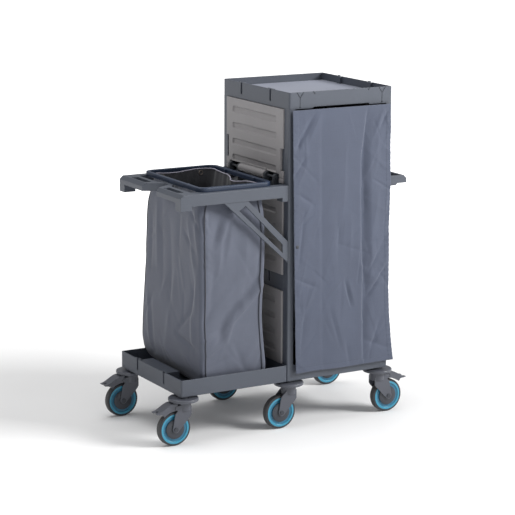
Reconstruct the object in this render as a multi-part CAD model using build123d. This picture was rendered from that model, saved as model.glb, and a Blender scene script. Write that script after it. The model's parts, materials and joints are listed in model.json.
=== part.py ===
from build123d import *
import os

# Housekeeping cart: a cabinet on the right, a laundry bag bay on the left, six castors.
# +Z up, +X towards the cabinet's push handle, -Y is the front with the curtain.
# The origin is on the floor, under the joint between the bag bay and the cabinet.

# ---------------------------------------------------------------- driving dimensions (mm)
CABINET_LENGTH = 435.0      # cabinet along X
BAY_LENGTH = 435.0          # bag bay along X
DEPTH = 480.0               # over the posts, along Y
TRAY_HEIGHT = 60.0          # every deck, shelf and tray moulding
COMPARTMENT_HEIGHT = 272.0  # clear height between two of them
TRAY_WALL = 5.0
TRAY_CORNER = 7.0
FLOOR_THICKNESS = 4.0
BASE_FLOOR_DROP = 50.0      # deck floor below the deck's rim
SHELF_FLOOR_DROP = 30.0     # shelf and top tray floor below the rim
INSERT_THICKNESS = 3.0
INSERT_CLEARANCE = 1.0

POST_X = 25.0
POST_Y = 33.0
POST_WALL = 4.0
POST_CORNER = 6.0

END_SLOT_Y = 105.0          # accessory slots in the end walls, from the centre line
END_SLOT_WIDTH = 12.0
END_SLOT_DEPTH = 8.0
END_SLOT_SILL = 17.0        # slot bottom above the moulding's underside
SLOT_BOSS = 6.0             # wall round each slot
RIM_BUMP = 2.5
STEP_LENGTH = 64.0          # raised step at the bag deck's outer end
STEP_DROP = 4.0             # below the deck's rim

PANEL_THICKNESS = 10.0
PANEL_PROUD = 6.0           # panel face outside the posts' face
PANEL_CLEARANCE = 0.5
BAND_COUNT = 4
BAND_HEIGHT = 26.0
BAND_PITCH = 60.0
BAND_TOP_GAP = 28.0
BAND_END_GAP = 46.0
BAND_DEPTH = 4.5
BAND_SLOPE = 48.0          # degrees that a band's walls lean
BAND_CORNER = 9.0

FLAP_GAP = 2.0              # under the top tray
FLAP_NOTCH_DEPTH = 18.0
FLAP_NOTCH_HEIGHT = 83.0
FLAP_NOTCH_Z = 46.0         # above the upper shelf's rim
FLAP_SILL = 35.0            # underside of the flap between its feet, above the rim
FLAP_FOOT = 26.0            # width of each foot
FLAP_FOOT_GAP = 2.0
STOP_LIP_THICKNESS = 3.5    # thin lip on the left posts, behind the closed flap's edges
STOP_LIP_REACH = 24.0
STOP_LIP_GAP = 0.5
STOP_LIP_Z = 42.0           # above the upper shelf's rim
HINGE_RISE = 20.0           # hinge axis above the upper shelf's rim
HINGE_OUT = 8.0             # hinge axis outside the cabinet's side
BARREL_RADIUS = 14.0
BARREL_LENGTH = 184.0
BRACKET_THICKNESS = 12.0
BRACKET_RADIUS = 12.0
OUTER_BRACKET_Y = 156.0
HINGE_SIDE_GAP = 0.5
PIN_RADIUS = 4.0
RUNNING_CLEARANCE = 0.05    # radial, every pin or shaft that turns

RAIL_HEIGHT = 42.0
RAIL_WIDTH = 39.0
RAIL_SKIN = 6.0
RAIL_END_LENGTH = 45.0
RAIL_END_DROP = 57.0
RAIL_FOOT_LENGTH = 25.0
GRIP_THICKNESS = 29.0
GRIP_CHAMFER = 13.0
GRIP_LOBE = 60.0            # width of the grip at its two lobes
GRIP_WAIST = 18.0           # width of the grip at its waist
GRIP_WAIST_IN = 72.0        # waist's outer edge inside the grip's outer edge
HANDLE_BAR = 24.0           # width of the push handle's bar
HANDLE_WAIST_IN = 20.0      # its middle is set in by this much
HANDLE_WAIST_HALF = 60.0    # and over this half length, sloping at both ends
HANDLE_ARM_WALL = 8.0
GRIP_SLOT_WIDTH = 26.0
GRIP_SLOT_EDGE = 18.0
GRIP_SLOT_START = 67.0
GRIP_SLOT_END = 184.0
HANDLE_REACH = 71.0
HANDLE_ARM_DROP = 36.0
HANDLE_ARM_LENGTH = 25.0

BRACE_THICKNESS = 8.0
BRACE_SET_BACK = 2.0
BRACE_TOP_OUT = 260.0
BRACE_TOP_IN = 165.0
BRACE_FOOT_LOW = 280.0      # below the upper shelf's rim
BRACE_FOOT_HIGH = 204.0
BRACE_RIM = 16.0

HOOP_HEIGHT = 16.0
HOOP_BAR = 16.0
HOOP_CORNER = 35.0
HOOP_LEFT = -350.0
HOOP_RIGHT = -50.0
HOOP_SET_IN = 20.0          # hoop inside the rails' outer faces

BAG_WALL = 4.0
BAG_CORNER = 12.0
BAG_HOOP_GAP = 6.0
BAG_BULGE = 15.0
BAG_FLOOR_GAP = 0.5
BAG_BELOW_HOOP_TOP = 4.0

CURTAIN_THICKNESS = 8.0
CURTAIN_GAP = 2.0
CURTAIN_HEM = 207.0         # above the floor
CURTAIN_LEFT = 6.0          # left edge at the top
CURTAIN_LEAN = 22.0         # and how far it leans in at the hem
CURTAIN_RIGHT_IN = 12.0     # right edge at the top, inside the cabinet's right face
CURTAIN_FLARE = 21.0
CURTAIN_FLARE_Z = 400.0     # the flare starts at this height
CURTAIN_TOP_GAP = 2.0
ROD_RADIUS = 4.0
ROD_DROP = 16.0
RING_RADIUS = 10.0
RING_WIRE = 1.25
RING_COUNT = 7
CATCH_SIZE = (10.0, 5.0, 23.0)
CATCH_Z = 680.0

WHEEL_RADIUS = 62.5
WHEEL_WIDTH = 28.0
TYRE_INNER = 54.5
RING_INNER = 46.0           # bright ring of the wheel centre
GUARD_RADIUS = 36.0
TRAIL = 40.0
AXLE_RADIUS = 4.0
LEG_GAP = 3.0               # fork leg inside face outside the tyre
LEG_THICKNESS = 5.0
LEG_END_RADIUS = 13.0
CROWN_RADIUS = 28.0
CROWN_HEIGHT = 30.0
CROWN_GAP = 3.0             # crown above the tyre
STEM_RADIUS = 6.0
STEM_HEAD_RADIUS = 10.0
STEM_HEAD_HEIGHT = 5.0
DISC_RADIUS = 55.0
DISC_THICKNESS = 12.0
DISC_GAP = 2.0              # disc above the crown
DISC_HUB_RADIUS = 20.0
DISC_HUB_HEIGHT = 8.0
CASTOR_INSET = 24.0         # from the deck's end
CASTOR_SIDE_INSET = 29.0    # from the deck's front and back
SOCKET_POST_GAP = 0.4
SOCKET_HEIGHT = 25.0
NUT_RADIUS = 10.0
NUT_HEIGHT = 8.0
PEDAL_WIDTH = 44.0
PEDAL_PIVOT = (34.0, 15.0)  # outward from the swivel axis, and above the tyre
PEDAL_REACH = 117.0
PEDAL_PIN_RADIUS = 3.0
PEDAL_TYRE_GAP = 6.5
PEDAL_TIP_RISE = 4.0        # tip above the tyre's top
EAR_RADIUS = 9.0

# ---------------------------------------------------------------- derived levels and faces
HALF = DEPTH / 2
AXLE_Z = WHEEL_RADIUS
TYRE_TOP = 2 * WHEEL_RADIUS
CROWN_Z = TYRE_TOP + CROWN_GAP
DISC_Z = CROWN_Z + CROWN_HEIGHT + DISC_GAP
BASE_Z = DISC_Z + DISC_THICKNESS + DISC_HUB_HEIGHT
STOREY = TRAY_HEIGHT + COMPARTMENT_HEIGHT
LEVELS = [BASE_Z + storey * STOREY for storey in range(4)]
RIMS = [level + TRAY_HEIGHT for level in LEVELS]
TOP_Z = LEVELS[3]
RAIL_TOP = RIMS[2]
PANEL_HALF = HALF - POST_Y - PANEL_CLEARANCE
LEG_INNER = WHEEL_WIDTH / 2 + LEG_GAP
LEG_OUTER = LEG_INNER + LEG_THICKNESS
SOCKET_RADIUS = CASTOR_INSET - POST_WALL - SOCKET_POST_GAP


def block(x0, x1, y0, y1, z0, z1):
    """A box between two corners."""
    middle = Pos((x0 + x1) / 2, (y0 + y1) / 2, (z0 + z1) / 2)
    return middle * Box(x1 - x0, y1 - y0, z1 - z0)


def rounded_block(x0, x1, y0, y1, z0, z1, radius):
    """A box with rounded upright edges."""
    plan = Pos((x0 + x1) / 2, (y0 + y1) / 2, z0) * RectangleRounded(x1 - x0, y1 - y0, radius)
    return extrude(plan, z1 - z0)


def rod(start, axis, radius, length):
    """A cylinder from start along axis."""
    return extrude(Plane(origin=start, z_dir=axis) * Circle(radius), length)


def side_profile(points, y0, y1):
    """A polygon of (x, z) points, carried along Y from y0 to y1."""
    face = make_face(Polyline([(x, y0, z) for x, z in points], close=True))
    return extrude(face, y1 - y0, dir=(0, 1, 0))


def plan_profile(points, z0, z1):
    """A polygon of (x, y) points, carried up from z0 to z1."""
    face = make_face(Polyline([(x, y, z0) for x, y in points], close=True))
    return extrude(face, z1 - z0, dir=(0, 0, 1))


def save(name, *solids):
    """Write one node: a single solid, or a group of separate ones."""
    shape = solids[0] if len(solids) == 1 else Compound(children=list(solids))
    export_step(shape, f"parts/{name}.step")
    print(name, len(shape.solids()), round(shape.volume / 1000.0, 1), "cm3")


# ---------------------------------------------------------------- trays, decks and shelves
def end_slot(tray, x_face, inward, y, z0, bump):
    """A blind accessory slot in an end wall, with the boss behind it and a bump on an open rim."""
    rim = z0 + TRAY_HEIGHT
    half = END_SLOT_WIDTH / 2
    deep = x_face + inward * END_SLOT_DEPTH
    back = deep + inward * SLOT_BOSS
    boss = block(*sorted((x_face + inward * TRAY_WALL, back)),
                 y - half - SLOT_BOSS, y + half + SLOT_BOSS, z0, rim)
    slot = block(*sorted((x_face - inward, deep)), y - half, y + half, z0 + END_SLOT_SILL, rim + 1)
    tray = tray + boss - slot
    if bump:
        wall = x_face + inward * TRAY_WALL
        tray += block(*sorted((x_face, wall)), y + half, y + half + END_SLOT_WIDTH, rim - 1, rim + RIM_BUMP)
    return tray


def moulding(x0, x1, z0, floor_drop, slots_left=True, slots_right=True, bumps=False):
    """The walls and floor that every deck, shelf and tray shares."""
    rim = z0 + TRAY_HEIGHT
    floor = rim - floor_drop
    inner = TRAY_CORNER - TRAY_WALL
    inside = (x0 + TRAY_WALL, x1 - TRAY_WALL, -HALF + TRAY_WALL, HALF - TRAY_WALL)
    tray = rounded_block(x0, x1, -HALF, HALF, z0, rim, TRAY_CORNER)
    tray = fillet(tray.faces().sort_by(Axis.Z)[-1].outer_wire().edges(), TRAY_WALL / 4)
    tray -= rounded_block(*inside, floor, rim + 1, inner)
    tray -= rounded_block(*inside, z0 - 1, floor - FLOOR_THICKNESS, inner)
    for y in (-END_SLOT_Y, END_SLOT_Y):
        if slots_left:
            tray = end_slot(tray, x0, 1, y, z0, bumps)
        if slots_right:
            tray = end_slot(tray, x1, -1, y, z0, bumps)
    return tray


def socket(x, y, z0):
    """The boss that takes a castor stem."""
    boss = rod((x, y, z0), (0, 0, 1), SOCKET_RADIUS, SOCKET_HEIGHT)
    return boss


def with_sockets(deck, places, z0):
    for x, y in places:
        deck += socket(x, y, z0)
    for x, y in places:
        deck -= rod((x, y, z0 - 1), (0, 0, 1), STEM_RADIUS, SOCKET_HEIGHT + 2)
    return deck


def post_corners():
    """The four corner posts: name, outer corner and the direction inwards."""
    for y_name, y, y_in in (("front", -HALF, 1), ("back", HALF, -1)):
        for x_name, x, x_in in (("left", 0.0, 1), ("right", CABINET_LENGTH, -1)):
            yield f"post_{y_name}_{x_name}", x, y, x_in, y_in


def post_outline(x, y, x_in, y_in, z0, z1):
    """The post's full outline, with its outer corner rounded."""
    outline = block(*sorted((x, x + x_in * POST_X)), *sorted((y, y + y_in * POST_Y)), z0, z1)
    uprights = outline.edges().filter_by(Axis.Z)
    corner = uprights.sort_by_distance((x, y, (z0 + z1) / 2))[0]
    return fillet(corner, POST_CORNER)


def post(x, y, x_in, y_in):
    """A hollow post standing on the deck's corner, with an apron that laps over the deck."""
    tube = post_outline(x, y, x_in, y_in, RIMS[0], TOP_Z)
    tube -= block(*sorted((x + x_in * POST_WALL, x + x_in * (POST_X - POST_WALL))),
                  *sorted((y + y_in * POST_WALL, y + y_in * (POST_Y - POST_WALL))),
                  RIMS[0] - 1, TOP_Z + 1)
    apron = post_outline(x, y, x_in, y_in, BASE_Z, RIMS[0])
    apron -= block(*sorted((x + x_in * POST_WALL, x + x_in * (POST_X + 1))),
                   *sorted((y + y_in * POST_WALL, y + y_in * (POST_Y + 1))), BASE_Z - 1, RIMS[0] + 1)
    return tube + apron


def stop_lip(side):
    """The lip on a left post that the closed flap's edge stands in front of."""
    back = PANEL_THICKNESS - PANEL_PROUD + STOP_LIP_GAP
    edge = HALF - POST_Y
    ys = sorted((side * (edge - STOP_LIP_REACH), side * (edge + 1)))
    return block(back, back + STOP_LIP_THICKNESS, *ys, RIMS[2] + STOP_LIP_Z, TOP_Z - FLAP_GAP)


POSTS = {name: post(x, y, x_in, y_in) for name, x, y, x_in, y_in in post_corners()}
POSTS["post_front_left"] += stop_lip(-1)
POSTS["post_back_left"] += stop_lip(1)
CASTOR_Y = HALF - CASTOR_SIDE_INSET
MIDDLE_X = CASTOR_INSET
LEFT_X = -BAY_LENGTH + CASTOR_INSET
RIGHT_X = CABINET_LENGTH - CASTOR_INSET


def bag_deck():
    """The tray under the bag, with a raised step at its outer end."""
    deck = moulding(-BAY_LENGTH, 0, BASE_Z, BASE_FLOOR_DROP, slots_right=False, bumps=True)
    step_top = RIMS[0] - STEP_DROP
    step_x = -BAY_LENGTH + TRAY_WALL - 1
    step_end = -BAY_LENGTH + STEP_LENGTH
    deck += block(step_x, step_end, -END_SLOT_Y, END_SLOT_Y, BASE_Z + 1, step_top)
    deck -= block(step_x + 2 * END_SLOT_DEPTH, step_end - TRAY_WALL, -END_SLOT_Y + TRAY_WALL,
                  END_SLOT_Y - TRAY_WALL, BASE_Z - 1, step_top - FLOOR_THICKNESS)
    return with_sockets(deck, [(LEFT_X, -CASTOR_Y), (LEFT_X, CASTOR_Y)], BASE_Z)


def corner_pad(x, y, x_in, y_in):
    """The deck corner that a post stands on."""
    return block(*sorted((x + x_in * POST_WALL, x + x_in * POST_X)),
                 *sorted((y + y_in * POST_WALL, y + y_in * POST_Y)), BASE_Z, RIMS[0])


def cabinet_deck():
    """The cabinet's floor: the posts' aprons lap over its corners."""
    deck = moulding(0, CABINET_LENGTH, BASE_Z, BASE_FLOOR_DROP, slots_left=False)
    for name, x, y, x_in, y_in in post_corners():
        deck += corner_pad(x, y, x_in, y_in)
        deck -= post_outline(x, y, x_in, y_in, BASE_Z, RIMS[0] + 1) - corner_pad(x, y, x_in, y_in)
        deck -= block(*sorted((x - x_in, x + x_in * POST_WALL)),
                      *sorted((y - y_in, y + y_in * POST_Y)), BASE_Z - 1, RIMS[0] + 1)
        deck -= block(*sorted((x - x_in, x + x_in * POST_X)),
                      *sorted((y - y_in, y + y_in * POST_WALL)), BASE_Z - 1, RIMS[0] + 1)
    places = [(x, y) for x in (MIDDLE_X, RIGHT_X) for y in (-CASTOR_Y, CASTOR_Y)]
    for x, y in places:
        nut_room = rod((x, y, BASE_Z + SOCKET_HEIGHT), (0, 0, 1), NUT_RADIUS + 1, TRAY_HEIGHT)
        deck -= nut_room
    return with_sockets(deck, places, BASE_Z)


def shelf(z0):
    """An inner shelf, notched round the posts."""
    tray = moulding(0, CABINET_LENGTH, z0, SHELF_FLOOR_DROP)
    for name, x, y, x_in, y_in in post_corners():
        tray -= block(*sorted((x - x_in, x + x_in * POST_X)), *sorted((y - y_in, y + y_in * POST_Y)),
                      z0 - 1, z0 + TRAY_HEIGHT + 1)
        tray += corner_wall(x, y, x_in, y_in, z0)
    return tray


def corner_wall(x, y, x_in, y_in, z0):
    """The shelf's own wall round a post."""
    outer = block(*sorted((x + x_in * POST_X, x + x_in * (POST_X + TRAY_WALL))),
                  *sorted((y + y_in * TRAY_WALL, y + y_in * (POST_Y + TRAY_WALL))), z0, z0 + TRAY_HEIGHT)
    outer += block(*sorted((x + x_in * TRAY_WALL, x + x_in * (POST_X + TRAY_WALL))),
                   *sorted((y + y_in * POST_Y, y + y_in * (POST_Y + TRAY_WALL))), z0, z0 + TRAY_HEIGHT)
    return outer


FUNNEL_X = (44.0, CABINET_LENGTH - 44.0)
BAR_X = (99.0, CABINET_LENGTH - 99.0)
FUNNEL_WIDTH = 34.0
FUNNEL_DEPTH = 22.0
GROOVE = 2.0
BAR_LIFT = 5.0
BAR_NOTCH = 9.0


def top_tray():
    """The tray on top: its front wall has two keyed slits and a raised middle bar."""
    rim = RIMS[3]
    tray = moulding(0, CABINET_LENGTH, TOP_Z, SHELF_FLOOR_DROP, bumps=True)
    front = -HALF
    for y_face, depth in ((front, 1), (HALF, -1)):
        near, far = sorted((y_face - depth, y_face + depth * GROOVE))
        through = sorted((y_face - depth, y_face + depth * (TRAY_WALL + 1)))
        for x in FUNNEL_X:
            for side in (-1, 1):
                lip = [(x + side * FUNNEL_WIDTH / 2, rim + 1),
                       (x + side * (FUNNEL_WIDTH / 2 - 2 * GROOVE), rim + 1),
                       (x, rim - FUNNEL_DEPTH + 2 * GROOVE), (x, rim - FUNNEL_DEPTH)]
                tray -= side_profile(lip, near, far)
            tray -= block(x - GROOVE / 2, x + GROOVE / 2, near, far, TOP_Z + BAR_LIFT, rim - FUNNEL_DEPTH + 1)
            tray -= rod((x, y_face - depth, TOP_Z + BAR_LIFT), (0, depth, 0), GROOVE + 0.5, TRAY_WALL)
        tray -= block(BAR_X[0], BAR_X[1], *through, TOP_Z - 1, TOP_Z + BAR_LIFT)
        for x, side in ((BAR_X[0], 1), (BAR_X[1], -1)):
            notch = [(x, rim + 1), (x - side * BAR_NOTCH / 2, rim + 1), (x + side * BAR_NOTCH / 2, rim - BAR_NOTCH),
                     (x + side * BAR_NOTCH, rim - BAR_NOTCH)]
            tray -= side_profile(notch, near, far)
    return tray


def tray_insert():
    """The pale plate that lies in the top tray, clear of the slot bosses."""
    room = TRAY_WALL + INSERT_CLEARANCE
    floor = RIMS[3] - SHELF_FLOOR_DROP
    plate = rounded_block(room, CABINET_LENGTH - room, -HALF + room, HALF - room,
                          floor, floor + INSERT_THICKNESS, TRAY_CORNER)
    reach = END_SLOT_DEPTH + SLOT_BOSS + INSERT_CLEARANCE
    half = END_SLOT_WIDTH / 2 + SLOT_BOSS + INSERT_CLEARANCE
    for y in (-END_SLOT_Y, END_SLOT_Y):
        plate -= block(0, reach, y - half, y + half, floor - 1, floor + INSERT_THICKNESS + 1)
        plate -= block(CABINET_LENGTH - reach, CABINET_LENGTH, y - half, y + half,
                       floor - 1, floor + INSERT_THICKNESS + 1)
    return plate


# ---------------------------------------------------------------- panels
def panel(half_width, height):
    """A ribbed panel, standing on the origin: its face is towards -X, recessed in bands."""
    plate = block(0, PANEL_THICKNESS, -half_width, half_width, 0, height)
    plate = fillet(plate.faces().sort_by(Axis.X)[0].edges(), 2.0)
    for row in range(BAND_COUNT):
        middle = height - BAND_TOP_GAP - BAND_HEIGHT / 2 - row * BAND_PITCH
        face = Plane(origin=(0, 0, middle), x_dir=(0, 1, 0), z_dir=(1, 0, 0))
        band = RectangleRounded(2 * (half_width - BAND_END_GAP), BAND_HEIGHT, BAND_CORNER)
        plate -= extrude(face * band, BAND_DEPTH, taper=BAND_SLOPE)
    return plate


def side_panel(storey, side):
    """A fixed end panel between two posts; side is -1 for the bag's side."""
    plate = panel(PANEL_HALF, COMPARTMENT_HEIGHT)
    if side < 0:
        return Pos(-PANEL_PROUD, 0, RIMS[storey]) * plate
    return Pos(CABINET_LENGTH + PANEL_PROUD, 0, RIMS[storey]) * Rot(0, 0, 180) * plate


def back_panel(storey):
    """A fixed back panel between the back posts."""
    half_width = CABINET_LENGTH / 2 - POST_X - PANEL_CLEARANCE
    plate = Rot(0, 0, -90) * panel(half_width, COMPARTMENT_HEIGHT)
    return Pos(CABINET_LENGTH / 2, HALF - POST_WALL + PANEL_PROUD, RIMS[storey]) * plate


HINGE = (-HINGE_OUT, RIMS[2] + HINGE_RISE)


def side_flap():
    """The fold-down flap over the bag: a ribbed panel on a round hinge barrel."""
    rim = RIMS[2]
    half = PANEL_HALF
    top = TOP_Z - FLAP_GAP
    foot = rim + FLAP_FOOT_GAP
    flap = Pos(-PANEL_PROUD, 0, foot) * panel(half, top - foot)
    outer, inner = -PANEL_PROUD - 1, PANEL_THICKNESS - PANEL_PROUD + 1
    flap -= block(outer, inner, -half + FLAP_FOOT, half - FLAP_FOOT, foot - 1, rim + FLAP_SILL)
    low = rim + FLAP_NOTCH_Z
    for side in (-1, 1):
        ys = sorted((side * (half - FLAP_NOTCH_DEPTH), side * (half + 1)))
        flap -= block(outer, inner, *ys, low, low + FLAP_NOTCH_HEIGHT)
    barrel = rod((HINGE[0], -BARREL_LENGTH / 2, HINGE[1]), (0, 1, 0), BARREL_RADIUS, BARREL_LENGTH)
    web = block(HINGE[0], PANEL_THICKNESS - PANEL_PROUD, -BARREL_LENGTH / 2, BARREL_LENGTH / 2,
                HINGE[1], rim + FLAP_SILL + RAIL_SKIN)
    bore = rod((HINGE[0], -HALF, HINGE[1]), (0, 1, 0), PIN_RADIUS + RUNNING_CLEARANCE, DEPTH)
    return flap + barrel + web - bore


def hinge_bracket(y):
    """One dark bracket on the upper shelf's side; y is its lower face along the pin."""
    ys = (y, y + BRACKET_THICKNESS)
    ear = rod((HINGE[0], y, HINGE[1]), (0, 1, 0), BRACKET_RADIUS, BRACKET_THICKNESS)
    arm = block(HINGE[0] - BRACKET_RADIUS, 0, *ys, RIMS[2] - TRAY_HEIGHT / 2, HINGE[1])
    return ear + arm - rod((HINGE[0], -HALF, HINGE[1]), (0, 1, 0), PIN_RADIUS, DEPTH)


def hinge_brackets():
    """A pair beside the barrel and a pair near the flap's feet."""
    starts = (BARREL_LENGTH / 2 + HINGE_SIDE_GAP, OUTER_BRACKET_Y)
    return [hinge_bracket(y) for start in starts for y in (start, -start - BRACKET_THICKNESS)]


def hinge_pin():
    """The flap's hinge pin, held by the brackets."""
    length = 2 * (OUTER_BRACKET_Y + BRACKET_THICKNESS) + 4
    return rod((HINGE[0], -length / 2, HINGE[1]), (0, 1, 0), PIN_RADIUS, length)


# ---------------------------------------------------------------- bag frame and handles
def bag_rail(side):
    """A channel from the post to the bay's outer corner: side is -1 at the front."""
    z0, z1 = RAIL_TOP - RAIL_HEIGHT, RAIL_TOP
    outer, inner = side * HALF, side * (HALF - RAIL_WIDTH)
    ys = sorted((outer, inner))
    rail = block(-BAY_LENGTH, 0, *ys, z0, z1)
    rail += block(-BAY_LENGTH, -BAY_LENGTH + RAIL_END_LENGTH, *ys, RAIL_TOP - RAIL_END_DROP, z1)
    rail += block(-RAIL_FOOT_LENGTH, 0, *ys, RAIL_TOP - RAIL_END_DROP, z1)
    hollow = sorted((outer - side * RAIL_SKIN, inner - side))
    rail -= block(-BAY_LENGTH + RAIL_END_LENGTH, -RAIL_FOOT_LENGTH, *hollow, z0 - 1, z1 - RAIL_SKIN)
    slope = [(-BAY_LENGTH - 1, z1 - GRIP_CHAMFER), (-BAY_LENGTH - 1, z1 + 1),
             (-BAY_LENGTH + GRIP_CHAMFER, z1 + 1), (-BAY_LENGTH + GRIP_CHAMFER, z1)]
    rail -= side_profile(slope, ys[0] - 1, ys[1] + 1)
    edges = rail.edges().filter_by(Axis.X).filter_by(lambda e: abs(e.center().Y - outer) < 0.01)
    return fillet(edges.sort_by(Axis.Z)[-1], 2.5)


def grip_outline(half_length):
    """Plan of a grip whose outer edge is at x = 0 and whose inside is towards +X."""
    waist = GRIP_WAIST_IN
    lobe_end = GRIP_SLOT_START - 9.0
    flat = lobe_end / 4
    one_side = [(0, half_length), (0, lobe_end), (waist, flat)]
    other = [(x, -y) for x, y in reversed(one_side)]
    lobe_start = [(GRIP_LOBE, -half_length), (GRIP_LOBE, -lobe_end), (waist + GRIP_WAIST, -flat)]
    return one_side + other + lobe_start + [(x, -y) for x, y in reversed(lobe_start)]


def grip(half_length):
    """A hand grip: two slotted lobes joined by a waist, with a sloping outer top edge."""
    bar = plan_profile(grip_outline(half_length), 0, GRIP_THICKNESS)
    top = GRIP_THICKNESS
    slope = [(-1, top - GRIP_CHAMFER), (-1, top + 1), (GRIP_CHAMFER, top + 1), (GRIP_CHAMFER, top)]
    bar -= side_profile(slope, -half_length - 1, half_length + 1)
    middle = (GRIP_SLOT_START + GRIP_SLOT_END) / 2
    for y in (-middle, middle):
        centre = Pos(GRIP_SLOT_EDGE + GRIP_SLOT_WIDTH / 2, y, -1)
        slot = RectangleRounded(GRIP_SLOT_WIDTH, GRIP_SLOT_END - GRIP_SLOT_START, GRIP_SLOT_WIDTH / 4)
        bar -= extrude(centre * slot, GRIP_THICKNESS + 2)
    return bar


def bag_end_grip():
    """The grip across the outer end of the bag frame."""
    return Pos(-BAY_LENGTH, 0, RAIL_TOP - GRIP_THICKNESS) * grip(HALF - RAIL_WIDTH)


def handle_bar_outline():
    """Plan of the push handle's bar: straight at its ends, set in at its middle."""
    outer = CABINET_LENGTH + HANDLE_REACH
    waist, slope = HANDLE_WAIST_HALF, HANDLE_WAIST_IN
    half = [(outer, HALF), (outer, waist + slope), (outer - slope, waist)]
    outside = half + [(x, -y) for x, y in reversed(half)]
    return outside + [(x - HANDLE_BAR, y) for x, y in reversed(outside)]


def push_handle():
    """The push handle on the cabinet's far side: a bar on two arms, with a sloping outer edge."""
    outer = CABINET_LENGTH + HANDLE_REACH
    low = RAIL_TOP - GRIP_THICKNESS
    bar = plan_profile(handle_bar_outline(), low, RAIL_TOP)
    for side in (-1, 1):
        ys = sorted((side * HALF, side * (HALF - HANDLE_ARM_WALL)))
        arm = [(CABINET_LENGTH, RAIL_TOP), (outer, RAIL_TOP), (outer, low),
               (CABINET_LENGTH + HANDLE_ARM_LENGTH + GRIP_CHAMFER / 2, low),
               (CABINET_LENGTH + HANDLE_ARM_LENGTH, RAIL_TOP - HANDLE_ARM_DROP),
               (CABINET_LENGTH, RAIL_TOP - HANDLE_ARM_DROP)]
        bar += side_profile(arm, *ys)
    slope = [(outer + 1, RAIL_TOP - GRIP_CHAMFER), (outer + 1, RAIL_TOP + 1),
             (outer - GRIP_CHAMFER, RAIL_TOP + 1), (outer - GRIP_CHAMFER, RAIL_TOP)]
    return bar - side_profile(slope, -HALF - 1, HALF + 1)


def brace(side):
    """A slotted diagonal brace under a bag rail."""
    rail_low = RAIL_TOP - RAIL_HEIGHT
    foot_low, foot_high = RAIL_TOP - BRACE_FOOT_LOW, RAIL_TOP - BRACE_FOOT_HIGH
    outer = side * (HALF - BRACE_SET_BACK)
    ys = sorted((outer, outer - side * BRACE_THICKNESS))
    outline = [(-BRACE_TOP_OUT, rail_low), (0, foot_low), (0, foot_high), (-BRACE_TOP_IN, rail_low)]
    plate = side_profile(outline, *ys)
    rim = BRACE_RIM
    slot = [(-BRACE_TOP_OUT + 3.7 * rim, rail_low - 2 * rim), (-1.35 * rim, foot_low + 2.3 * rim),
            (-1.35 * rim, foot_high - 0.5 * rim), (-BRACE_TOP_IN - 0.6 * rim, rail_low - rim)]
    return plate - side_profile(slot, ys[0] - 1, ys[1] + 1)


def bag_hoop():
    """The ring that the laundry bag hangs from, lying on the rails and the end grip."""
    z0 = RAIL_TOP
    half = HALF - HOOP_SET_IN
    hoop = rounded_block(HOOP_LEFT, HOOP_RIGHT, -half, half, z0, z0 + HOOP_HEIGHT, HOOP_CORNER)
    hoop -= rounded_block(HOOP_LEFT + HOOP_BAR, HOOP_RIGHT - HOOP_BAR, -half + HOOP_BAR, half - HOOP_BAR,
                          z0 - 1, z0 + HOOP_HEIGHT + 1, HOOP_CORNER - HOOP_BAR)
    return fillet(hoop.faces().sort_by(Axis.Z)[-1].edges(), HOOP_BAR / 4)


def bag_hook(y, side):
    """A small hook on the hoop's inside, for an eyelet of the bag."""
    x_face = HOOP_LEFT + HOOP_BAR if side < 0 else HOOP_RIGHT - HOOP_BAR
    xs = sorted((x_face, x_face - side * (BAG_HOOP_GAP - 1)))
    return block(*xs, y - 6, y + 6, RAIL_TOP + 2, RAIL_TOP + HOOP_HEIGHT - 2)


# ---------------------------------------------------------------- soft parts
def bag_sections(inset):
    """Heights and plans of the bag, from its floor to its mouth: (z, x0, x1, half depth)."""
    mouth_left = HOOP_LEFT + HOOP_BAR + BAG_HOOP_GAP
    mouth_right = HOOP_RIGHT - HOOP_BAR - BAG_HOOP_GAP
    mouth_half = HALF - HOOP_SET_IN - HOOP_BAR - BAG_HOOP_GAP
    floor = RIMS[0] - BASE_FLOOR_DROP + BAG_FLOOR_GAP
    neck = RAIL_TOP - GRIP_THICKNESS - 2 * RAIL_SKIN
    below = RAIL_TOP - RAIL_END_DROP - BAG_BULGE
    mouth = RAIL_TOP + HOOP_HEIGHT - BAG_BELOW_HOOP_TOP
    bulge = BAG_BULGE
    plans = [(floor, -bulge / 3, 0), (floor + 2 * bulge, bulge, bulge), (below - STOREY, bulge, bulge),
             (below, bulge, bulge), (neck, bulge / 3, 0), (mouth, 0, 0)]
    for z, side, end in plans:
        yield (z, mouth_left - side + inset, mouth_right - side / 2 - inset, mouth_half + end - inset)


def bag_body(inset, rise):
    """A lofted bag shape; rise lifts its floor."""
    plans = []
    for step, (z, x0, x1, half) in enumerate(bag_sections(inset)):
        level = z + rise if step == 0 else z
        plans.append(Pos((x0 + x1) / 2, 0, level) * RectangleRounded(x1 - x0, 2 * half, BAG_CORNER))
    return loft(plans, ruled=True)


def laundry_bag():
    """The bag, open at its mouth."""
    inside = bag_body(BAG_WALL, BAG_WALL)
    mouth = inside.faces().sort_by(Axis.Z)[-1]
    return bag_body(0, 0) - inside - extrude(mouth, 1)


def front_curtain():
    """The curtain over the cabinet's front; its left edge leans in and its right edge flares."""
    top = TOP_Z - CURTAIN_TOP_GAP
    outline = [(CURTAIN_LEFT + CURTAIN_LEAN, CURTAIN_HEM), (CABINET_LENGTH + CURTAIN_FLARE, CURTAIN_HEM),
               (CABINET_LENGTH - CURTAIN_RIGHT_IN / 2, CURTAIN_FLARE_Z),
               (CABINET_LENGTH - CURTAIN_RIGHT_IN, top), (CURTAIN_LEFT, top)]
    return side_profile(outline, -HALF - CURTAIN_GAP - CURTAIN_THICKNESS, -HALF - CURTAIN_GAP)


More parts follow.
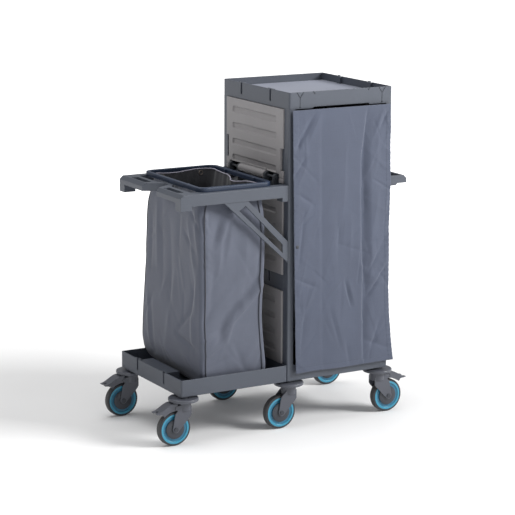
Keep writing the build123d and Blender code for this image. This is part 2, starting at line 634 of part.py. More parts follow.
ROD_Y = -HALF + POST_Y / 2
ROD_Z = TOP_Z - ROD_DROP


def curtain_rod():
    """The rod that the curtain's rings hang from, between the front posts."""
    return rod((POST_X, ROD_Y, ROD_Z), (1, 0, 0), ROD_RADIUS, CABINET_LENGTH - 2 * POST_X)


def curtain_ring(number):
    """One ring, hanging on the rod."""
    gap = (CABINET_LENGTH - 2 * POST_X) / RING_COUNT
    x = POST_X + (number + 0.5) * gap
    drop = RING_RADIUS - RING_WIRE - ROD_RADIUS - RUNNING_CLEARANCE
    spot = Plane(origin=(x, ROD_Y, ROD_Z - drop), z_dir=(1, 0, 0))
    return spot * Torus(RING_RADIUS, RING_WIRE)


def curtain_catch():
    """The catch on the front left post that holds the curtain's edge."""
    long, deep, tall = CATCH_SIZE
    return block(POST_X, POST_X + long, -HALF, -HALF + deep, CATCH_Z - tall / 2, CATCH_Z + tall / 2)


# ---------------------------------------------------------------- castors, made about their own swivel axis
def wheel_revolve(profile):
    """Turn a half section of (radius, y) points about the axle."""
    face = make_face(Polyline([(TRAIL + r, y, AXLE_Z) for r, y in profile], close=True))
    return revolve(face, Axis((TRAIL, 0, AXLE_Z), (0, 1, 0)), 360)


def mirrored(points):
    """Close a half section that is given for y >= 0, from the bore outwards."""
    return points + [(r, -y) for r, y in reversed(points)]


def wheel_centre():
    """Hub, web and two-step rim, moulded in one."""
    bore = AXLE_RADIUS + RUNNING_CLEARANCE
    hub = WHEEL_WIDTH / 2 - 1.5
    half = [(bore, hub), (bore + 8, hub), (bore + 8, 5), (GUARD_RADIUS - 3, 5), (GUARD_RADIUS - 2, hub - 2),
            (RING_INNER, hub - 1.5), (RING_INNER + 1.5, hub + 1), (TYRE_INNER, hub + 1)]
    return wheel_revolve(mirrored(half))


def tyre():
    """The solid tyre, round shouldered."""
    half = WHEEL_WIDTH / 2
    edge = 5.0
    section = mirrored([(TYRE_INNER, half - 0.5), (TYRE_INNER + 2, half), (WHEEL_RADIUS - edge, half - 0.5),
                        (WHEEL_RADIUS - 0.35 * edge, half - 0.3 * edge), (WHEEL_RADIUS, half - edge)])
    return wheel_revolve(section)


def thread_guard(side):
    """A domed guard between the wheel and a fork leg."""
    inner = WHEEL_WIDTH / 2 - 1.2
    section = [(AXLE_RADIUS, inner), (GUARD_RADIUS, inner), (GUARD_RADIUS, inner + 1.5),
               (GUARD_RADIUS * 0.8, LEG_INNER - 0.8), (GUARD_RADIUS * 0.5, LEG_INNER), (AXLE_RADIUS, LEG_INNER)]
    return wheel_revolve([(r, side * y) for r, y in section])


def axle():
    """The axle bolt: a cap each end, outside the fork legs."""
    reach = LEG_OUTER + 3
    bolt = rod((TRAIL, -reach, AXLE_Z), (0, 1, 0), AXLE_RADIUS, 2 * reach)
    for y in (-reach, LEG_OUTER):
        bolt += rod((TRAIL, y, AXLE_Z), (0, 1, 0), 2 * AXLE_RADIUS, reach - LEG_OUTER)
    return bolt


PIVOT_U = PEDAL_PIVOT[0]
PIVOT_Z = TYRE_TOP + PEDAL_PIVOT[1]


def fork(braked):
    """Crown and two legs; a braked fork also has ears for the pedal's pin."""
    body = rod((0, 0, CROWN_Z), (0, 0, 1), CROWN_RADIUS, CROWN_HEIGHT)
    body = fillet(body.edges().sort_by(Axis.Z)[-1], 4.0)
    leg_top = CROWN_Z + CROWN_HEIGHT / 2
    back = CROWN_RADIUS - 1
    end = LEG_END_RADIUS
    outline = [(-0.8 * back, leg_top), (-0.8 * back, CROWN_Z - 16), (-0.62 * back, CROWN_Z - 24),
               (TRAIL - 0.9 * end, AXLE_Z - 0.45 * end), (TRAIL + 0.98 * end, AXLE_Z + 0.2 * end),
               (TRAIL + 0.2 * end, CROWN_Z - 8), (0.8 * back, leg_top)]
    for side in (-1, 1):
        ys = sorted((side * LEG_INNER, side * LEG_OUTER))
        body += side_profile(outline, *ys)
        body += rod((TRAIL, ys[0], AXLE_Z), (0, 1, 0), end, LEG_THICKNESS)
        if braked:
            body += rod((PIVOT_U, ys[0], PIVOT_Z), (0, 1, 0), EAR_RADIUS, LEG_THICKNESS)
            body += block(0, PIVOT_U, *ys, PIVOT_Z - EAR_RADIUS, PIVOT_Z + EAR_RADIUS)
    body -= block(-CROWN_RADIUS - 1, PIVOT_U + EAR_RADIUS + 1, -LEG_INNER, LEG_INNER, 0, CROWN_Z)
    body -= rod((TRAIL, -HALF, AXLE_Z), (0, 1, 0), AXLE_RADIUS, DEPTH)
    if braked:
        body -= rod((PIVOT_U, -HALF, PIVOT_Z), (0, 1, 0), PEDAL_PIN_RADIUS + RUNNING_CLEARANCE, DEPTH)
    body -= rod((0, 0, CROWN_Z - 1), (0, 0, 1), STEM_RADIUS + RUNNING_CLEARANCE, CROWN_HEIGHT + 2)
    return body - rod((0, 0, CROWN_Z - 1), (0, 0, 1), STEM_HEAD_RADIUS + 1, STEM_HEAD_HEIGHT + 2)


def stem():
    """The stem a fork swivels on: head below, nut above the deck's socket."""
    head_z = CROWN_Z + 0.5
    nut_z = BASE_Z + SOCKET_HEIGHT
    body = rod((0, 0, head_z), (0, 0, 1), STEM_RADIUS, nut_z + NUT_HEIGHT + 3 - head_z)
    body += rod((0, 0, head_z), (0, 0, 1), STEM_HEAD_RADIUS, STEM_HEAD_HEIGHT)
    nut = Plane(origin=(0, 0, nut_z)) * RegularPolygon(NUT_RADIUS, 6)
    return body + extrude(nut, NUT_HEIGHT)


def buffer_disc():
    """The round wall buffer between the fork and the deck."""
    disc = rod((0, 0, DISC_Z), (0, 0, 1), DISC_RADIUS, DISC_THICKNESS)
    disc = fillet(disc.edges().filter_by(GeomType.CIRCLE), DISC_THICKNESS / 3)
    disc += rod((0, 0, DISC_Z + DISC_THICKNESS), (0, 0, 1), DISC_HUB_RADIUS, DISC_HUB_HEIGHT)
    return disc - rod((0, 0, DISC_Z - 1), (0, 0, 1), STEM_RADIUS, DISC_THICKNESS + DISC_HUB_HEIGHT + 2)


def pedal():
    """The brake pedal: an arched plate over the tyre with a forked tip, and its pin."""
    under = WHEEL_RADIUS + PEDAL_TYRE_GAP
    top = CROWN_Z + CROWN_HEIGHT

    def tyre_line(u):
        return AXLE_Z + (under ** 2 - (u - TRAIL) ** 2) ** 0.5

    near, far = CROWN_RADIUS + 2.5, TRAIL + 0.667 * under
    mid = (TRAIL + far) / 2
    tip_z = TYRE_TOP + PEDAL_TIP_RISE
    reach = PEDAL_REACH
    upper = Spline([(reach, 0, tip_z), (0.7 * reach, 0, tip_z + 14.5), (0.42 * reach, 0, top - 0.8),
                    (near, 0, top - 5)])
    arc = ThreePointArc((TRAIL, 0, tyre_line(TRAIL)), (mid, 0, tyre_line(mid)), (far, 0, tyre_line(far)))
    edges = [upper, Line(upper @ 1, (near, 0, tyre_line(TRAIL))),
             Line((near, 0, tyre_line(TRAIL)), arc @ 0), arc,
             Line(arc @ 1, (far + 7, 0, tip_z - 5)), Line((far + 7, 0, tip_z - 5), (reach - 2, 0, tip_z - 3)),
             Line((reach - 2, 0, tip_z - 3), upper @ 0)]
    half = PEDAL_WIDTH / 2
    body = extrude(make_face(Curve() + edges), half, dir=(0, 1, 0), both=True)
    slim = LEG_INNER - 0.6
    for side in (-1, 1):
        ys = sorted((side * slim, side * (half + 1)))
        body -= rod((PIVOT_U, ys[0], PIVOT_Z), (0, 1, 0), EAR_RADIUS + 1.5, ys[1] - ys[0])
        body -= block(0, PIVOT_U, *ys, 0, BASE_Z)
    body -= block(0.86 * reach, reach + 1, -half / 3, half / 3, 0, BASE_Z)
    pin_half = LEG_OUTER
    return body + rod((PIVOT_U, -pin_half, PIVOT_Z), (0, 1, 0), PEDAL_PIN_RADIUS, 2 * pin_half)


# place: (name, x, y, turn, braked); turn 0 trails towards +X, 180 towards -X
CASTORS = [
    ("front_left", LEFT_X, -CASTOR_Y, 180, True),
    ("back_left", LEFT_X, CASTOR_Y, 180, True),
    ("front_middle", MIDDLE_X, -CASTOR_Y, 180, False),
    ("back_middle", MIDDLE_X, CASTOR_Y, 180, False),
    ("front_right", RIGHT_X, -CASTOR_Y, 0, True),
    ("back_right", RIGHT_X, CASTOR_Y, 0, True),
]


def main():
    os.makedirs("parts", exist_ok=True)
    save("base_bag_deck", bag_deck())
    save("base_cabinet_deck", cabinet_deck())
    for name, solid in POSTS.items():
        save(name, solid)
    save("lower_shelf", shelf(LEVELS[1]))
    save("upper_shelf", shelf(LEVELS[2]))
    save("top_tray", top_tray())
    save("tray_insert", tray_insert())
    save("left_panel_lower", side_panel(0, -1))
    save("left_panel_middle", side_panel(1, -1))
    save("right_panels", *[side_panel(storey, 1) for storey in range(3)])
    save("back_panels", *[back_panel(storey) for storey in range(3)])
    save("side_flap", side_flap())
    save("flap_hinge_brackets", *hinge_brackets())
    save("flap_hinge_pin", hinge_pin())
    save("bag_rail_front", bag_rail(-1))
    save("bag_rail_back", bag_rail(1))
    save("bag_end_grip", bag_end_grip())
    save("push_handle", push_handle())
    save("brace_front", brace(-1))
    save("brace_back", brace(1))
    save("bag_hoop", bag_hoop())
    save("bag_hooks", *[bag_hook(y, side) for side in (-1, 1) for y in (-END_SLOT_Y, END_SLOT_Y)])
    save("laundry_bag", laundry_bag())
    save("front_curtain", front_curtain())
    save("curtain_rod", curtain_rod())
    save("curtain_rings", *[curtain_ring(number) for number in range(RING_COUNT)])
    save("curtain_catch", curtain_catch())
    spots = [(name, Pos(x, y, 0) * Rot(0, 0, turn), braked) for name, x, y, turn, braked in CASTORS]
    save("castor_stems", *[spot * stem() for name, spot, braked in spots])
    save("buffer_discs", *[spot * buffer_disc() for name, spot, braked in spots])
    for name, spot, braked in spots:
        save(f"fork_{name}", spot * fork(braked))
        save(f"axle_{name}", spot * axle(), spot * thread_guard(-1), spot * thread_guard(1))
        save(f"wheel_centre_{name}", spot * wheel_centre())
        save(f"tyre_{name}", spot * tyre())
        if braked:
            save(f"brake_pedal_{name}", spot * pedal())


main()
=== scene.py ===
# %% [markdown]
# # Housekeeping cart
# The plastic frame, the wheels and the brackets are finished parts with exact sizes, so they are
# loaded and only given a finish. The laundry bag and the curtain are cloth: they are modelled here
# and stand in for the plain solids that mark their places.

# %% Load the fixed frame
import json
import math

import bpy
import numpy as np
from mathutils import Matrix, Vector


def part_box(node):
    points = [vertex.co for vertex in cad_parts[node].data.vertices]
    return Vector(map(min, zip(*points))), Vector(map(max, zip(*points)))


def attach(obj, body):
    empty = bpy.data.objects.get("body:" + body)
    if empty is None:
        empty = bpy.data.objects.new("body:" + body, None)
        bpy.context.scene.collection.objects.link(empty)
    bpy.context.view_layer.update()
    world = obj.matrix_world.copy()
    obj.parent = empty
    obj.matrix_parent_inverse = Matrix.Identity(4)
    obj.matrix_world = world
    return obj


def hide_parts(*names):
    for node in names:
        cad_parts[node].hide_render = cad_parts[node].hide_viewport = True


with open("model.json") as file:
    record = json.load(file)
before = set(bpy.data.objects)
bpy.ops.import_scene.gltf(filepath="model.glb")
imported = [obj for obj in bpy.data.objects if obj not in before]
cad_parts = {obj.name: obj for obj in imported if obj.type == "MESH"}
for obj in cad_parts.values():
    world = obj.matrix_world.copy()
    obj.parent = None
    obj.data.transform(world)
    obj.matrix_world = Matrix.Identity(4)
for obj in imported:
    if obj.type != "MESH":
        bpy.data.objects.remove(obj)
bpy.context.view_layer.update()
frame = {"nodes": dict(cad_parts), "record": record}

bpy.ops.object.select_all(action="DESELECT")
nodes = frame["nodes"]

# %% [markdown]
# ## Camera
# A long lens far away keeps the cart's upright edges nearly parallel. The camera's own right, up
# and backward directions are written down, and become its matrix.

# %% Place the camera
VIEW_RIGHT = (0.86677185, -0.49867591, 0.00537592)
VIEW_UP = (0.09990206, 0.18418552, 0.97780124)
VIEW_BACK = (-0.48859609, -0.84699353, 0.20946557)
EYE = (-3.5259, -6.1325, 2.1127)
LENS, SENSOR = 136.61, 36

bpy.ops.object.camera_add(location=EYE)
camera = bpy.context.object
turn = Matrix((VIEW_RIGHT, VIEW_UP, VIEW_BACK)).transposed().to_4x4()
camera.matrix_world = Matrix.Translation(EYE) @ turn
camera.data.lens = LENS
camera.data.sensor_width = SENSOR
camera.data.clip_end = 100
bpy.context.scene.camera = camera
bpy.context.scene.view_settings.view_transform = "Standard"
print("camera at", EYE)

# %% [markdown]
# ## Shader maths
# A finish is a web of nodes. Writing it as sums and products keeps it readable, so one small class
# wraps a socket and turns Python's operators into Math nodes. Every other node comes from one
# method, which takes the node's type, its settings and the values or links of its sockets.


# %% Define wires and finishes
class Wire:
    """A number that runs from one node to the next."""

    def __init__(self, finish, socket):
        self.finish = finish
        self.socket = socket

    def _maths(self, operation, first, second):
        return self.finish.node("Math", {"operation": operation}, {0: first, 1: second})

    def __add__(self, other):
        return self._maths("ADD", self, other)

    def __mul__(self, other):
        return self._maths("MULTIPLY", self, other)

    def __sub__(self, other):
        return self._maths("SUBTRACT", self, other)

    def __rsub__(self, other):
        return self._maths("SUBTRACT", other, self)

    def __truediv__(self, other):
        return self._maths("DIVIDE", self, other)

    def __lt__(self, other):
        return self._maths("LESS_THAN", self, other)

    __radd__ = __add__
    __rmul__ = __mul__


class Finish:
    """One material, with its Principled shader ready."""

    def __init__(self, name, sockets):
        self.material = bpy.data.materials.new(name)
        self.material.use_nodes = True
        self.tree = self.material.node_tree
        self.shader = self.tree.nodes["Principled BSDF"]
        self.set(sockets)

    def _fill(self, node, sockets):
        for key, value in sockets.items():
            if isinstance(value, Wire):
                self.tree.links.new(value.socket, node.inputs[key])
            else:
                node.inputs[key].default_value = value

    def node(self, kind, settings=None, sockets=None, output=0):
        """A node of that kind, and the wire from one of its outputs."""
        made = self.tree.nodes.new("ShaderNode" + kind)
        for key, value in (settings or {}).items():
            setattr(made, key, value)
        self._fill(made, sockets or {})
        return Wire(self, made.outputs[output])

    def set(self, sockets):
        """Values or wires for the shader's own sockets."""
        self._fill(self.shader, sockets)

    def blend(self, share, first, second):
        """A colour between two colours."""
        settings = {"data_type": "RGBA", "clamp_factor": True}
        return self.node("Mix", settings, {0: share, 6: first, 7: second}, 2)

    def noise(self, place, scale, detail=2, rough=0.5):
        """Cloudy noise from 0 to 1."""
        sockets = {"Vector": place, "Scale": scale, "Detail": detail, "Roughness": rough}
        return self.node("TexNoise", {}, sockets)

    def bump(self, strength, distance, height, normal=None):
        """A normal that follows height, over another normal if one is given."""
        sockets = {"Strength": strength, "Distance": distance, "Height": height}
        if normal is not None:
            sockets["Normal"] = normal
        return self.node("Bump", {}, sockets)

    def wave(self, place, step):
        """A sine whose waves are one step apart."""
        return self.node("Math", {"operation": "SINE"}, {0: place * (math.tau / step)})

    def clamp(self, value):
        """A value kept between 0 and 1."""
        return self.node("Clamp", {}, {"Value": value})


def rgba(colour, gain=1.0):
    """Three numbers as a colour with full alpha."""
    return (*[min(1.0, c * gain) for c in colour], 1.0)


print("finish tools ready")

# %% [markdown]
# ## Moulded plastic
# Injection moulded parts have softly rounded corners that catch a thin line of light, a fine spark
# eroded grain, and cloudy patches where the plastic flowed. The Bevel node rounds the shading of
# sharp corners without touching the mesh. Where that rounded normal leaves the flat one, the
# corner is painted paler in patches: partly rubbed wear, partly a painted highlight along the edge.
# Noise of three sizes makes the patches, the scuffs and the grain.


# %% Make the moulded plastics
def moulded(name, colour, roughness, edge_paling=0.35, grain=0.25, corner=0.0022, grain_size=1500):
    """A moulded plastic with grain, flow patches, and corners painted paler: rubbed wear and a
    painted highlight.
    """
    finish = Finish(name, {"Specular IOR Level": 0.45})
    place = finish.node("TexCoord", output="Object")
    patches = finish.noise(place, 7, 3)
    grit = finish.noise(place, grain_size, 1)
    scuffs = finish.noise(place, 55, 5, 0.7)
    soft = finish.node("Bevel", {"samples": 4}, {"Radius": corner})
    flat = finish.node("NewGeometry", output="Normal")
    same = finish.node("VectorMath", {"operation": "DOT_PRODUCT"}, {0: soft, 1: flat}, "Value")
    # Paler corners, in patches: partly rubbed wear, partly a painted highlight along the edge.
    pale_edge_wear_and_highlight = finish.clamp((1 - same) * 5.0 * (scuffs * 1.4 - 0.1))
    flow = patches * 0.9 + scuffs * 0.35 - 0.1
    body = finish.blend(flow, rgba(colour, 0.86), rgba(colour, 1.13))
    pale = rgba([c * 1.25 + 0.09 for c in colour])
    finish.set({
        "Base Color": finish.blend(pale_edge_wear_and_highlight * edge_paling, body, pale),
        "Roughness": roughness - 0.05 + patches * 0.06 + grit * 0.05 + scuffs * 0.04,
        "Normal": finish.bump(grain, 0.0003, grit, soft),
    })
    return finish.material


FRAME_GREY = (0.063, 0.072, 0.092)
PANEL_BEIGE = (0.236, 0.227, 0.234)
INSERT_PALE = (0.205, 0.218, 0.265)
HOOP_NAVY = (0.014, 0.026, 0.055)
BRACKET_DARK = (0.030, 0.034, 0.042)
CASTOR_GREY = (0.075, 0.080, 0.098)
GUARD_GREY = (0.040, 0.044, 0.054)

finishes = {
    "frame_grey": moulded("frame_grey_plastic", FRAME_GREY, 0.46),
    "panel_beige": moulded("panel_beige_plastic", PANEL_BEIGE, 0.50, 0.45, 0.35, 0.003, 1100),
    "insert_pale": moulded("insert_pale_plastic", INSERT_PALE, 0.42, 0.2, 0.2),
    "hoop_navy": moulded("hoop_navy_plastic", HOOP_NAVY, 0.36, 0.5, 0.15, 0.003),
    "bracket_dark": moulded("bracket_dark_plastic", BRACKET_DARK, 0.45),
    "castor_grey": moulded("castor_grey_plastic", CASTOR_GREY, 0.30, 0.35, 0.12, 0.003),
}
thread_guard = moulded("thread_guard_plastic", GUARD_GREY, 0.20, 0.2, 0.05, 0.002)
print("plastics:", sorted(finishes))

# %% [markdown]
# ## Steel
# Rods, stems and pins are zinc plated: a metal whose dull bloom varies in fine patches.

# %% Make the steel
steel = Finish("zinc_plated_steel", {"Metallic": 1.0})
steel_place = steel.node("TexCoord", output="Object")
bloom = steel.noise(steel_place, 90, 4, 0.6)
drawn = steel.noise(steel_place, 700, 2)
steel.set({
    "Base Color": steel.blend(bloom, (0.42, 0.43, 0.45, 1), (0.66, 0.67, 0.69, 1)),
    "Roughness": 0.24 + bloom * 0.2,
    "Normal": steel.bump(0.15, 0.0002, drawn),
})
finishes["steel"] = steel.material

# %% [markdown]
# ## Castor wheels
# Each wheel centre is one blue moulding: a bright outer ring, and a dish inside it painted a deeper
# blue as painted shade.
# The two are told apart by how far a point is from the axle, so the finish needs the place of the
# wheel's own axle, and each wheel gets its own copy. The tyre is grey rubber with fine mould
# rings, scuffed and dusty where it rolls.

# %% Make the wheel finishes
BRIGHT_BLUE = (0.034, 0.255, 0.385)
DISH_SHADE_BLUE = (0.014, 0.130, 0.225)
TYRE_GREY = (0.036, 0.038, 0.044)
FLOOR_DUST = (0.12, 0.118, 0.112)
RING_FROM = 0.0462
TREAD_FROM = 0.0585
MOULD_RING = math.tau / 5200


def from_axle(finish, node):
    """Distance from the axle, worked out in the wheel's own plane."""
    low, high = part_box(node)
    place = finish.node("TexCoord", output="Object")
    middle = ((low.x + high.x) / 2, 0, (low.z + high.z) / 2)
    flat = finish.node("VectorMath", {"operation": "MULTIPLY"}, {0: place, 1: (1, 0, 1)})
    reach = finish.node("VectorMath", {"operation": "DISTANCE"}, {0: flat, 1: middle}, "Value")
    return place, reach


def wheel_blue(node):
    """The blue of a wheel centre, with painted shade in the dish inside its ring."""
    shine = {"Specular IOR Level": 0.5, "Coat Weight": 0.25, "Coat Roughness": 0.15}
    finish = Finish("blue_" + node, shine)
    place, reach = from_axle(finish, node)
    swirl = finish.noise(place, 30, 3)
    soft = finish.node("Bevel", {"samples": 4}, {"Radius": 0.002})
    deep = finish.blend(swirl, rgba(DISH_SHADE_BLUE, 0.85), rgba(DISH_SHADE_BLUE, 1.15))
    bright = finish.blend(swirl, rgba(BRIGHT_BLUE, 0.92), rgba(BRIGHT_BLUE, 1.12))
    finish.set({
        # The dish inside the ring gets the darker blue: painted shade of the recess.
        "Base Color": finish.blend(reach < RING_FROM, bright, deep),
        "Roughness": 0.26 + swirl * 0.12,
        "Normal": finish.bump(0.1, 0.0003, swirl, soft),
    })
    return finish.material


def tyre_rubber(node):
    """Grey rubber with mould rings and dust."""
    finish = Finish("rubber_" + node, {"Specular IOR Level": 0.35})
    place, reach = from_axle(finish, node)
    dust = finish.noise(place, 120, 5, 0.7)
    rings = finish.wave(reach, MOULD_RING)
    tread = finish.clamp((reach - TREAD_FROM) * 260)
    body = finish.blend(dust, rgba(TYRE_GREY, 0.8), rgba(TYRE_GREY, 1.35))
    finish.set({
        "Base Color": finish.blend(tread * dust * 0.7, body, rgba(FLOOR_DUST)),
        "Roughness": 0.52 + dust * 0.2,
        "Normal": finish.bump(0.2, 0.0003, rings * 0.3 + dust),
    })
    return finish.material


wheels = [name for name in nodes if name.startswith("wheel_centre_")]
for wheel in wheels:
    finishes[wheel] = wheel_blue(wheel)
for tyre in [name for name in nodes if name.startswith("tyre_")]:
    finishes[tyre] = tyre_rubber(tyre)
print("wheels:", len(wheels))

# %% [markdown]
# ## Woven cloth
# Bag and curtain are coated polyester. Its look has three scales: threads about a millimetre
# apart, slubs that run some centimetres along the threads both ways, and broad cloudy shades.
# The threads follow the cloth's own UV map, whose unit is the metre of flat cloth, so they bend
# with each fold. The hems show a dashed line of stitches, made from distance to the cloth's edge.

# %% Make the cloth finishes
THREAD = 0.0011
STITCH = 0.0042
STITCH_HALF = 0.0006
SLUB_FINE, SLUB_LONG = 420, 14      # per metre, across a slub and along it


def woven(name, colour, stitch_rows=(), slub=0.5):
    """Coated woven polyester. stitch_rows lists (coordinate, place) of each sewn line."""
    sheen = {"Sheen Weight": 0.22, "Sheen Roughness": 0.45, "Specular IOR Level": 0.38}
    finish = Finish(name, sheen)
    flat = finish.node("UVMap", {"uv_map": "cloth"}, output="UV")
    across = finish.node("SeparateXYZ", {}, {0: flat}, "X")
    along = finish.node("SeparateXYZ", {}, {0: flat}, "Y")
    warp, weft = finish.wave(across, THREAD), finish.wave(along, THREAD)
    upright = finish.node("Mapping", {}, {"Vector": flat, "Scale": (SLUB_FINE, SLUB_LONG, 1)})
    lying = finish.node("Mapping", {}, {"Vector": flat, "Scale": (SLUB_LONG, SLUB_FINE, 1)})
    slubs = finish.noise(upright, 1, 2) * 0.5 + finish.noise(lying, 1, 2) * 0.5
    clouds = finish.noise(flat, 9, 3)
    shade = (slubs - 0.5) * slub * 1.6 + (clouds - 0.5) * 0.6 + warp * weft * 0.06 + 0.5
    base = finish.blend(shade, rgba(colour, 0.82), rgba(colour, 1.18))
    height = warp * weft * 0.25 + slubs * 1.1
    for axis, spot in stitch_rows:
        here, run = (across, along) if axis == "across" else (along, across)
        off = finish.node("Math", {"operation": "ABSOLUTE"}, {0: here - spot})
        dash = finish.wave(run, STITCH)
        sewn = (off < STITCH_HALF) * ((0.3 - dash) < 0.5)
        base = finish.blend(sewn * 0.7, base, rgba(colour, 0.45))
        height = height - sewn * 1.5
    finish.set({
        "Base Color": base,
        "Roughness": 0.62 + slubs * 0.16,
        "Normal": finish.bump(0.22, 0.0005, height),
    })
    return finish.material


print("threads per centimetre:", round(0.01 / THREAD))

# %% [markdown]
# ## Give every part its finish
# The record says which finish each part takes. Wheel centres and tyres have their own, and the
# thread guards on the axles are a glossier plastic.

# %% Assign the finishes to the frame
for row in frame["record"]["subparts"]:
    part = nodes[row["node"]]
    finish = finishes.get(row["node"]) or finishes.get(row["material_slot"])
    if row["node"].startswith("axle_"):
        finish = thread_guard
    if finish is not None:
        part.data.materials.clear()
        part.data.materials.append(finish)
print("finished parts:", sum(1 for part in nodes.values() if part.data.materials))

# %% [markdown]
# ## Cloth from a grid
# A cloth starts as a flat grid whose UVs are its flat size in metres. A function then says where
# each point of the flat cloth hangs. Folds are added as creases: a crease is a line on the wall
# with a width and a height, positive where the cloth stands out and negative where it falls in.


# %% Define the cloth tools
MM = 1 / 1000


def cloth_grid(name, columns, rows, flat, hang):
    """A grid whose every point is placed by hang(u, v), with UVs in metres of flat cloth."""
    bpy.ops.mesh.primitive_grid_add(x_subdivisions=columns, y_subdivisions=rows, size=1)
    piece = bpy.context.object
    piece.name = name
    mesh = piece.data
    uv = mesh.uv_layers[0]
    uv.name = "cloth"
    count = len(mesh.vertices)
    start = np.zeros(count * 3)
    mesh.vertices.foreach_get("co", start)
    start = start.reshape(-1, 3) + 0.5
    place = hang(start[:, 0], start[:, 1])
    mesh.vertices.foreach_set("co", place.astype(np.float32).ravel())
    loops = np.zeros(len(mesh.loops), np.int32)
    mesh.loops.foreach_get("vertex_index", loops)
    shares = start[loops][:, :2] * np.array(flat)
    uv.data.foreach_set("uv", shares.astype(np.float32).ravel())
    mesh.update()
    return piece


def select_only(piece):
    """Makes one piece the only selected one, and the active one."""
    bpy.ops.object.select_all(action="DESELECT")
    piece.select_set(True)
    bpy.context.view_layer.objects.active = piece


def apply_all(piece):
    """Applies every modifier, in order."""
    select_only(piece)
    for modifier in list(piece.modifiers):
        bpy.ops.object.modifier_apply(modifier=modifier.name)


def finish_cloth(piece, thickness, *materials):
    """Gives a cloth its thickness and finish. A second finish lines its inner face."""
    solid = piece.modifiers.new("thickness", "SOLIDIFY")
    solid.thickness = thickness
    solid.offset = -1
    solid.material_offset = solid.material_offset_rim = len(materials) - 1
    piece.data.materials.clear()
    for material in materials:
        piece.data.materials.append(material)
    apply_all(piece)
    bpy.ops.object.shade_smooth()


print("cloth tools ready")

# %% [markdown]
# A crease is highest on its line and fades along it and to each side. Most are listed one by one.
# A seeded spread of light ones fills the walls between them.


# %% Define the crease tools
def crease(a, z, line, widths, height):
    """How far one crease lifts the points (a, z) of a wall, with a width for each side."""
    a0, z0, a1, z1 = line
    run, rise = a1 - a0, z1 - z0
    long = run * run + rise * rise
    t = np.clip(((a - a0) * run + (z - z0) * rise) / long, 0, 1)
    away = np.hypot(a - a0 - t * run, z - z0 - t * rise)
    side = run * (z - z0) - rise * (a - a0)
    width = np.where(side < 0, widths[0], widths[1])
    fade = 1 - 0.6 * np.abs(2 * t - 1) ** 2
    round_top, sharp_top = np.exp(-(away / width) ** 2), np.exp(-away / (0.6 * width))
    return height * fade * (0.6 * round_top + 0.4 * sharp_top)


def creases(a, z, rows):
    """The sum of listed creases: two ends, then widths and height in millimetres."""
    total = np.zeros_like(a)
    for *line, first, second, height in rows:
        total += crease(a, z, line, (first * MM, second * MM), height * MM)
    return total


def small_creases(a, z, seed, count, span_a, span_z, lean=0.6, height=1.6):
    """Seeded light creases spread over a wall."""
    draw = np.random.default_rng(seed)
    rows = []
    for _ in range(count):
        mid_a, mid_z = draw.uniform(*span_a), draw.uniform(*span_z)
        angle = math.pi / 2 + draw.normal(0, lean)
        half = draw.uniform(0.03, 0.09)
        step_a, step_z = half * math.cos(angle), half * math.sin(angle)
        rows.append((mid_a - step_a, mid_z - step_z, mid_a + step_a, mid_z + step_z,
                     draw.uniform(4, 16), draw.uniform(4, 16), draw.normal(0, height)))
    return creases(a, z, rows)


def smooth(low, high, value):
    """0 below low, 1 above high, and an even curve between."""
    t = np.clip((value - low) / (high - low), 0, 1)
    return t * t * (3 - 2 * t)


print("crease tools ready")

# %% [markdown]
# Piping and tape are tubes along a smooth curve. The curve is made a mesh, so that it is finished
# like any other piece.


# %% Define the sewn cord
def cord_piece(name, points, radius, material, closed=False):
    """A sewn-in cord or tape along points, as a mesh."""
    bpy.ops.curve.primitive_nurbs_path_add()
    path = bpy.context.object
    path.name = name
    path.data.splines.clear()
    line = path.data.splines.new("NURBS")
    line.points.add(len(points) - 1)
    for spot, (x, y, z) in zip(line.points, points):
        spot.co = (x, y, z, 1)
    line.order_u = 3
    line.use_endpoint_u = not closed
    line.use_cyclic_u = closed
    path.data.dimensions = "3D"
    path.data.bevel_depth = radius
    path.data.bevel_resolution = 3
    path.data.use_fill_caps = not closed
    path.data.resolution_u = 3
    select_only(path)
    bpy.ops.object.convert(target="MESH")
    piece = bpy.context.object
    bpy.ops.object.shade_smooth()
    piece.data.materials.clear()
    piece.data.materials.append(material)
    return piece


print("sewn cord ready")

# %% [markdown]
# ## The curtain
# The curtain is one panel of cloth that hangs from rings behind its top edge and covers the
# cabinet's front. It is cut a little wider than the opening and flares at the hem. Creases run
# down from the hung corners, one deep fold stands a quarter in from the right, and the left hem
# is puckered by its stitching. It is made by placing the creases one by one, because a simulated
# curtain would not fold where this one does.

# %% Measure the curtain and list its creases
plain_low, plain_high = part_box("front_curtain")
CURTAIN_FLAT = (0.422, 0.985)
CURTAIN_THICKNESS = 0.0008
CURTAIN_TOP = plain_high.z
CURTAIN_HEM = plain_low.z
CURTAIN_STEP = 0.0035       # the cloth's back before the plain solid's
CURTAIN_FACE = plain_high.y - CURTAIN_STEP
CURTAIN_COLUMNS, CURTAIN_ROWS = 148, 312
HEM_LEFT, HEM_RIGHT, HEM_LOW = 0.025, 0.019, 0.022
HEM_PROUD = 0.0007          # a hem's second layer
CURTAIN_FULL = 0.0140       # the most that a fold stands out
CURTAIN_EASE = 0.0075       # how far the calm cloth stands out
POST_CLEAR = 0.0012         # room kept between the deepest fold and the posts

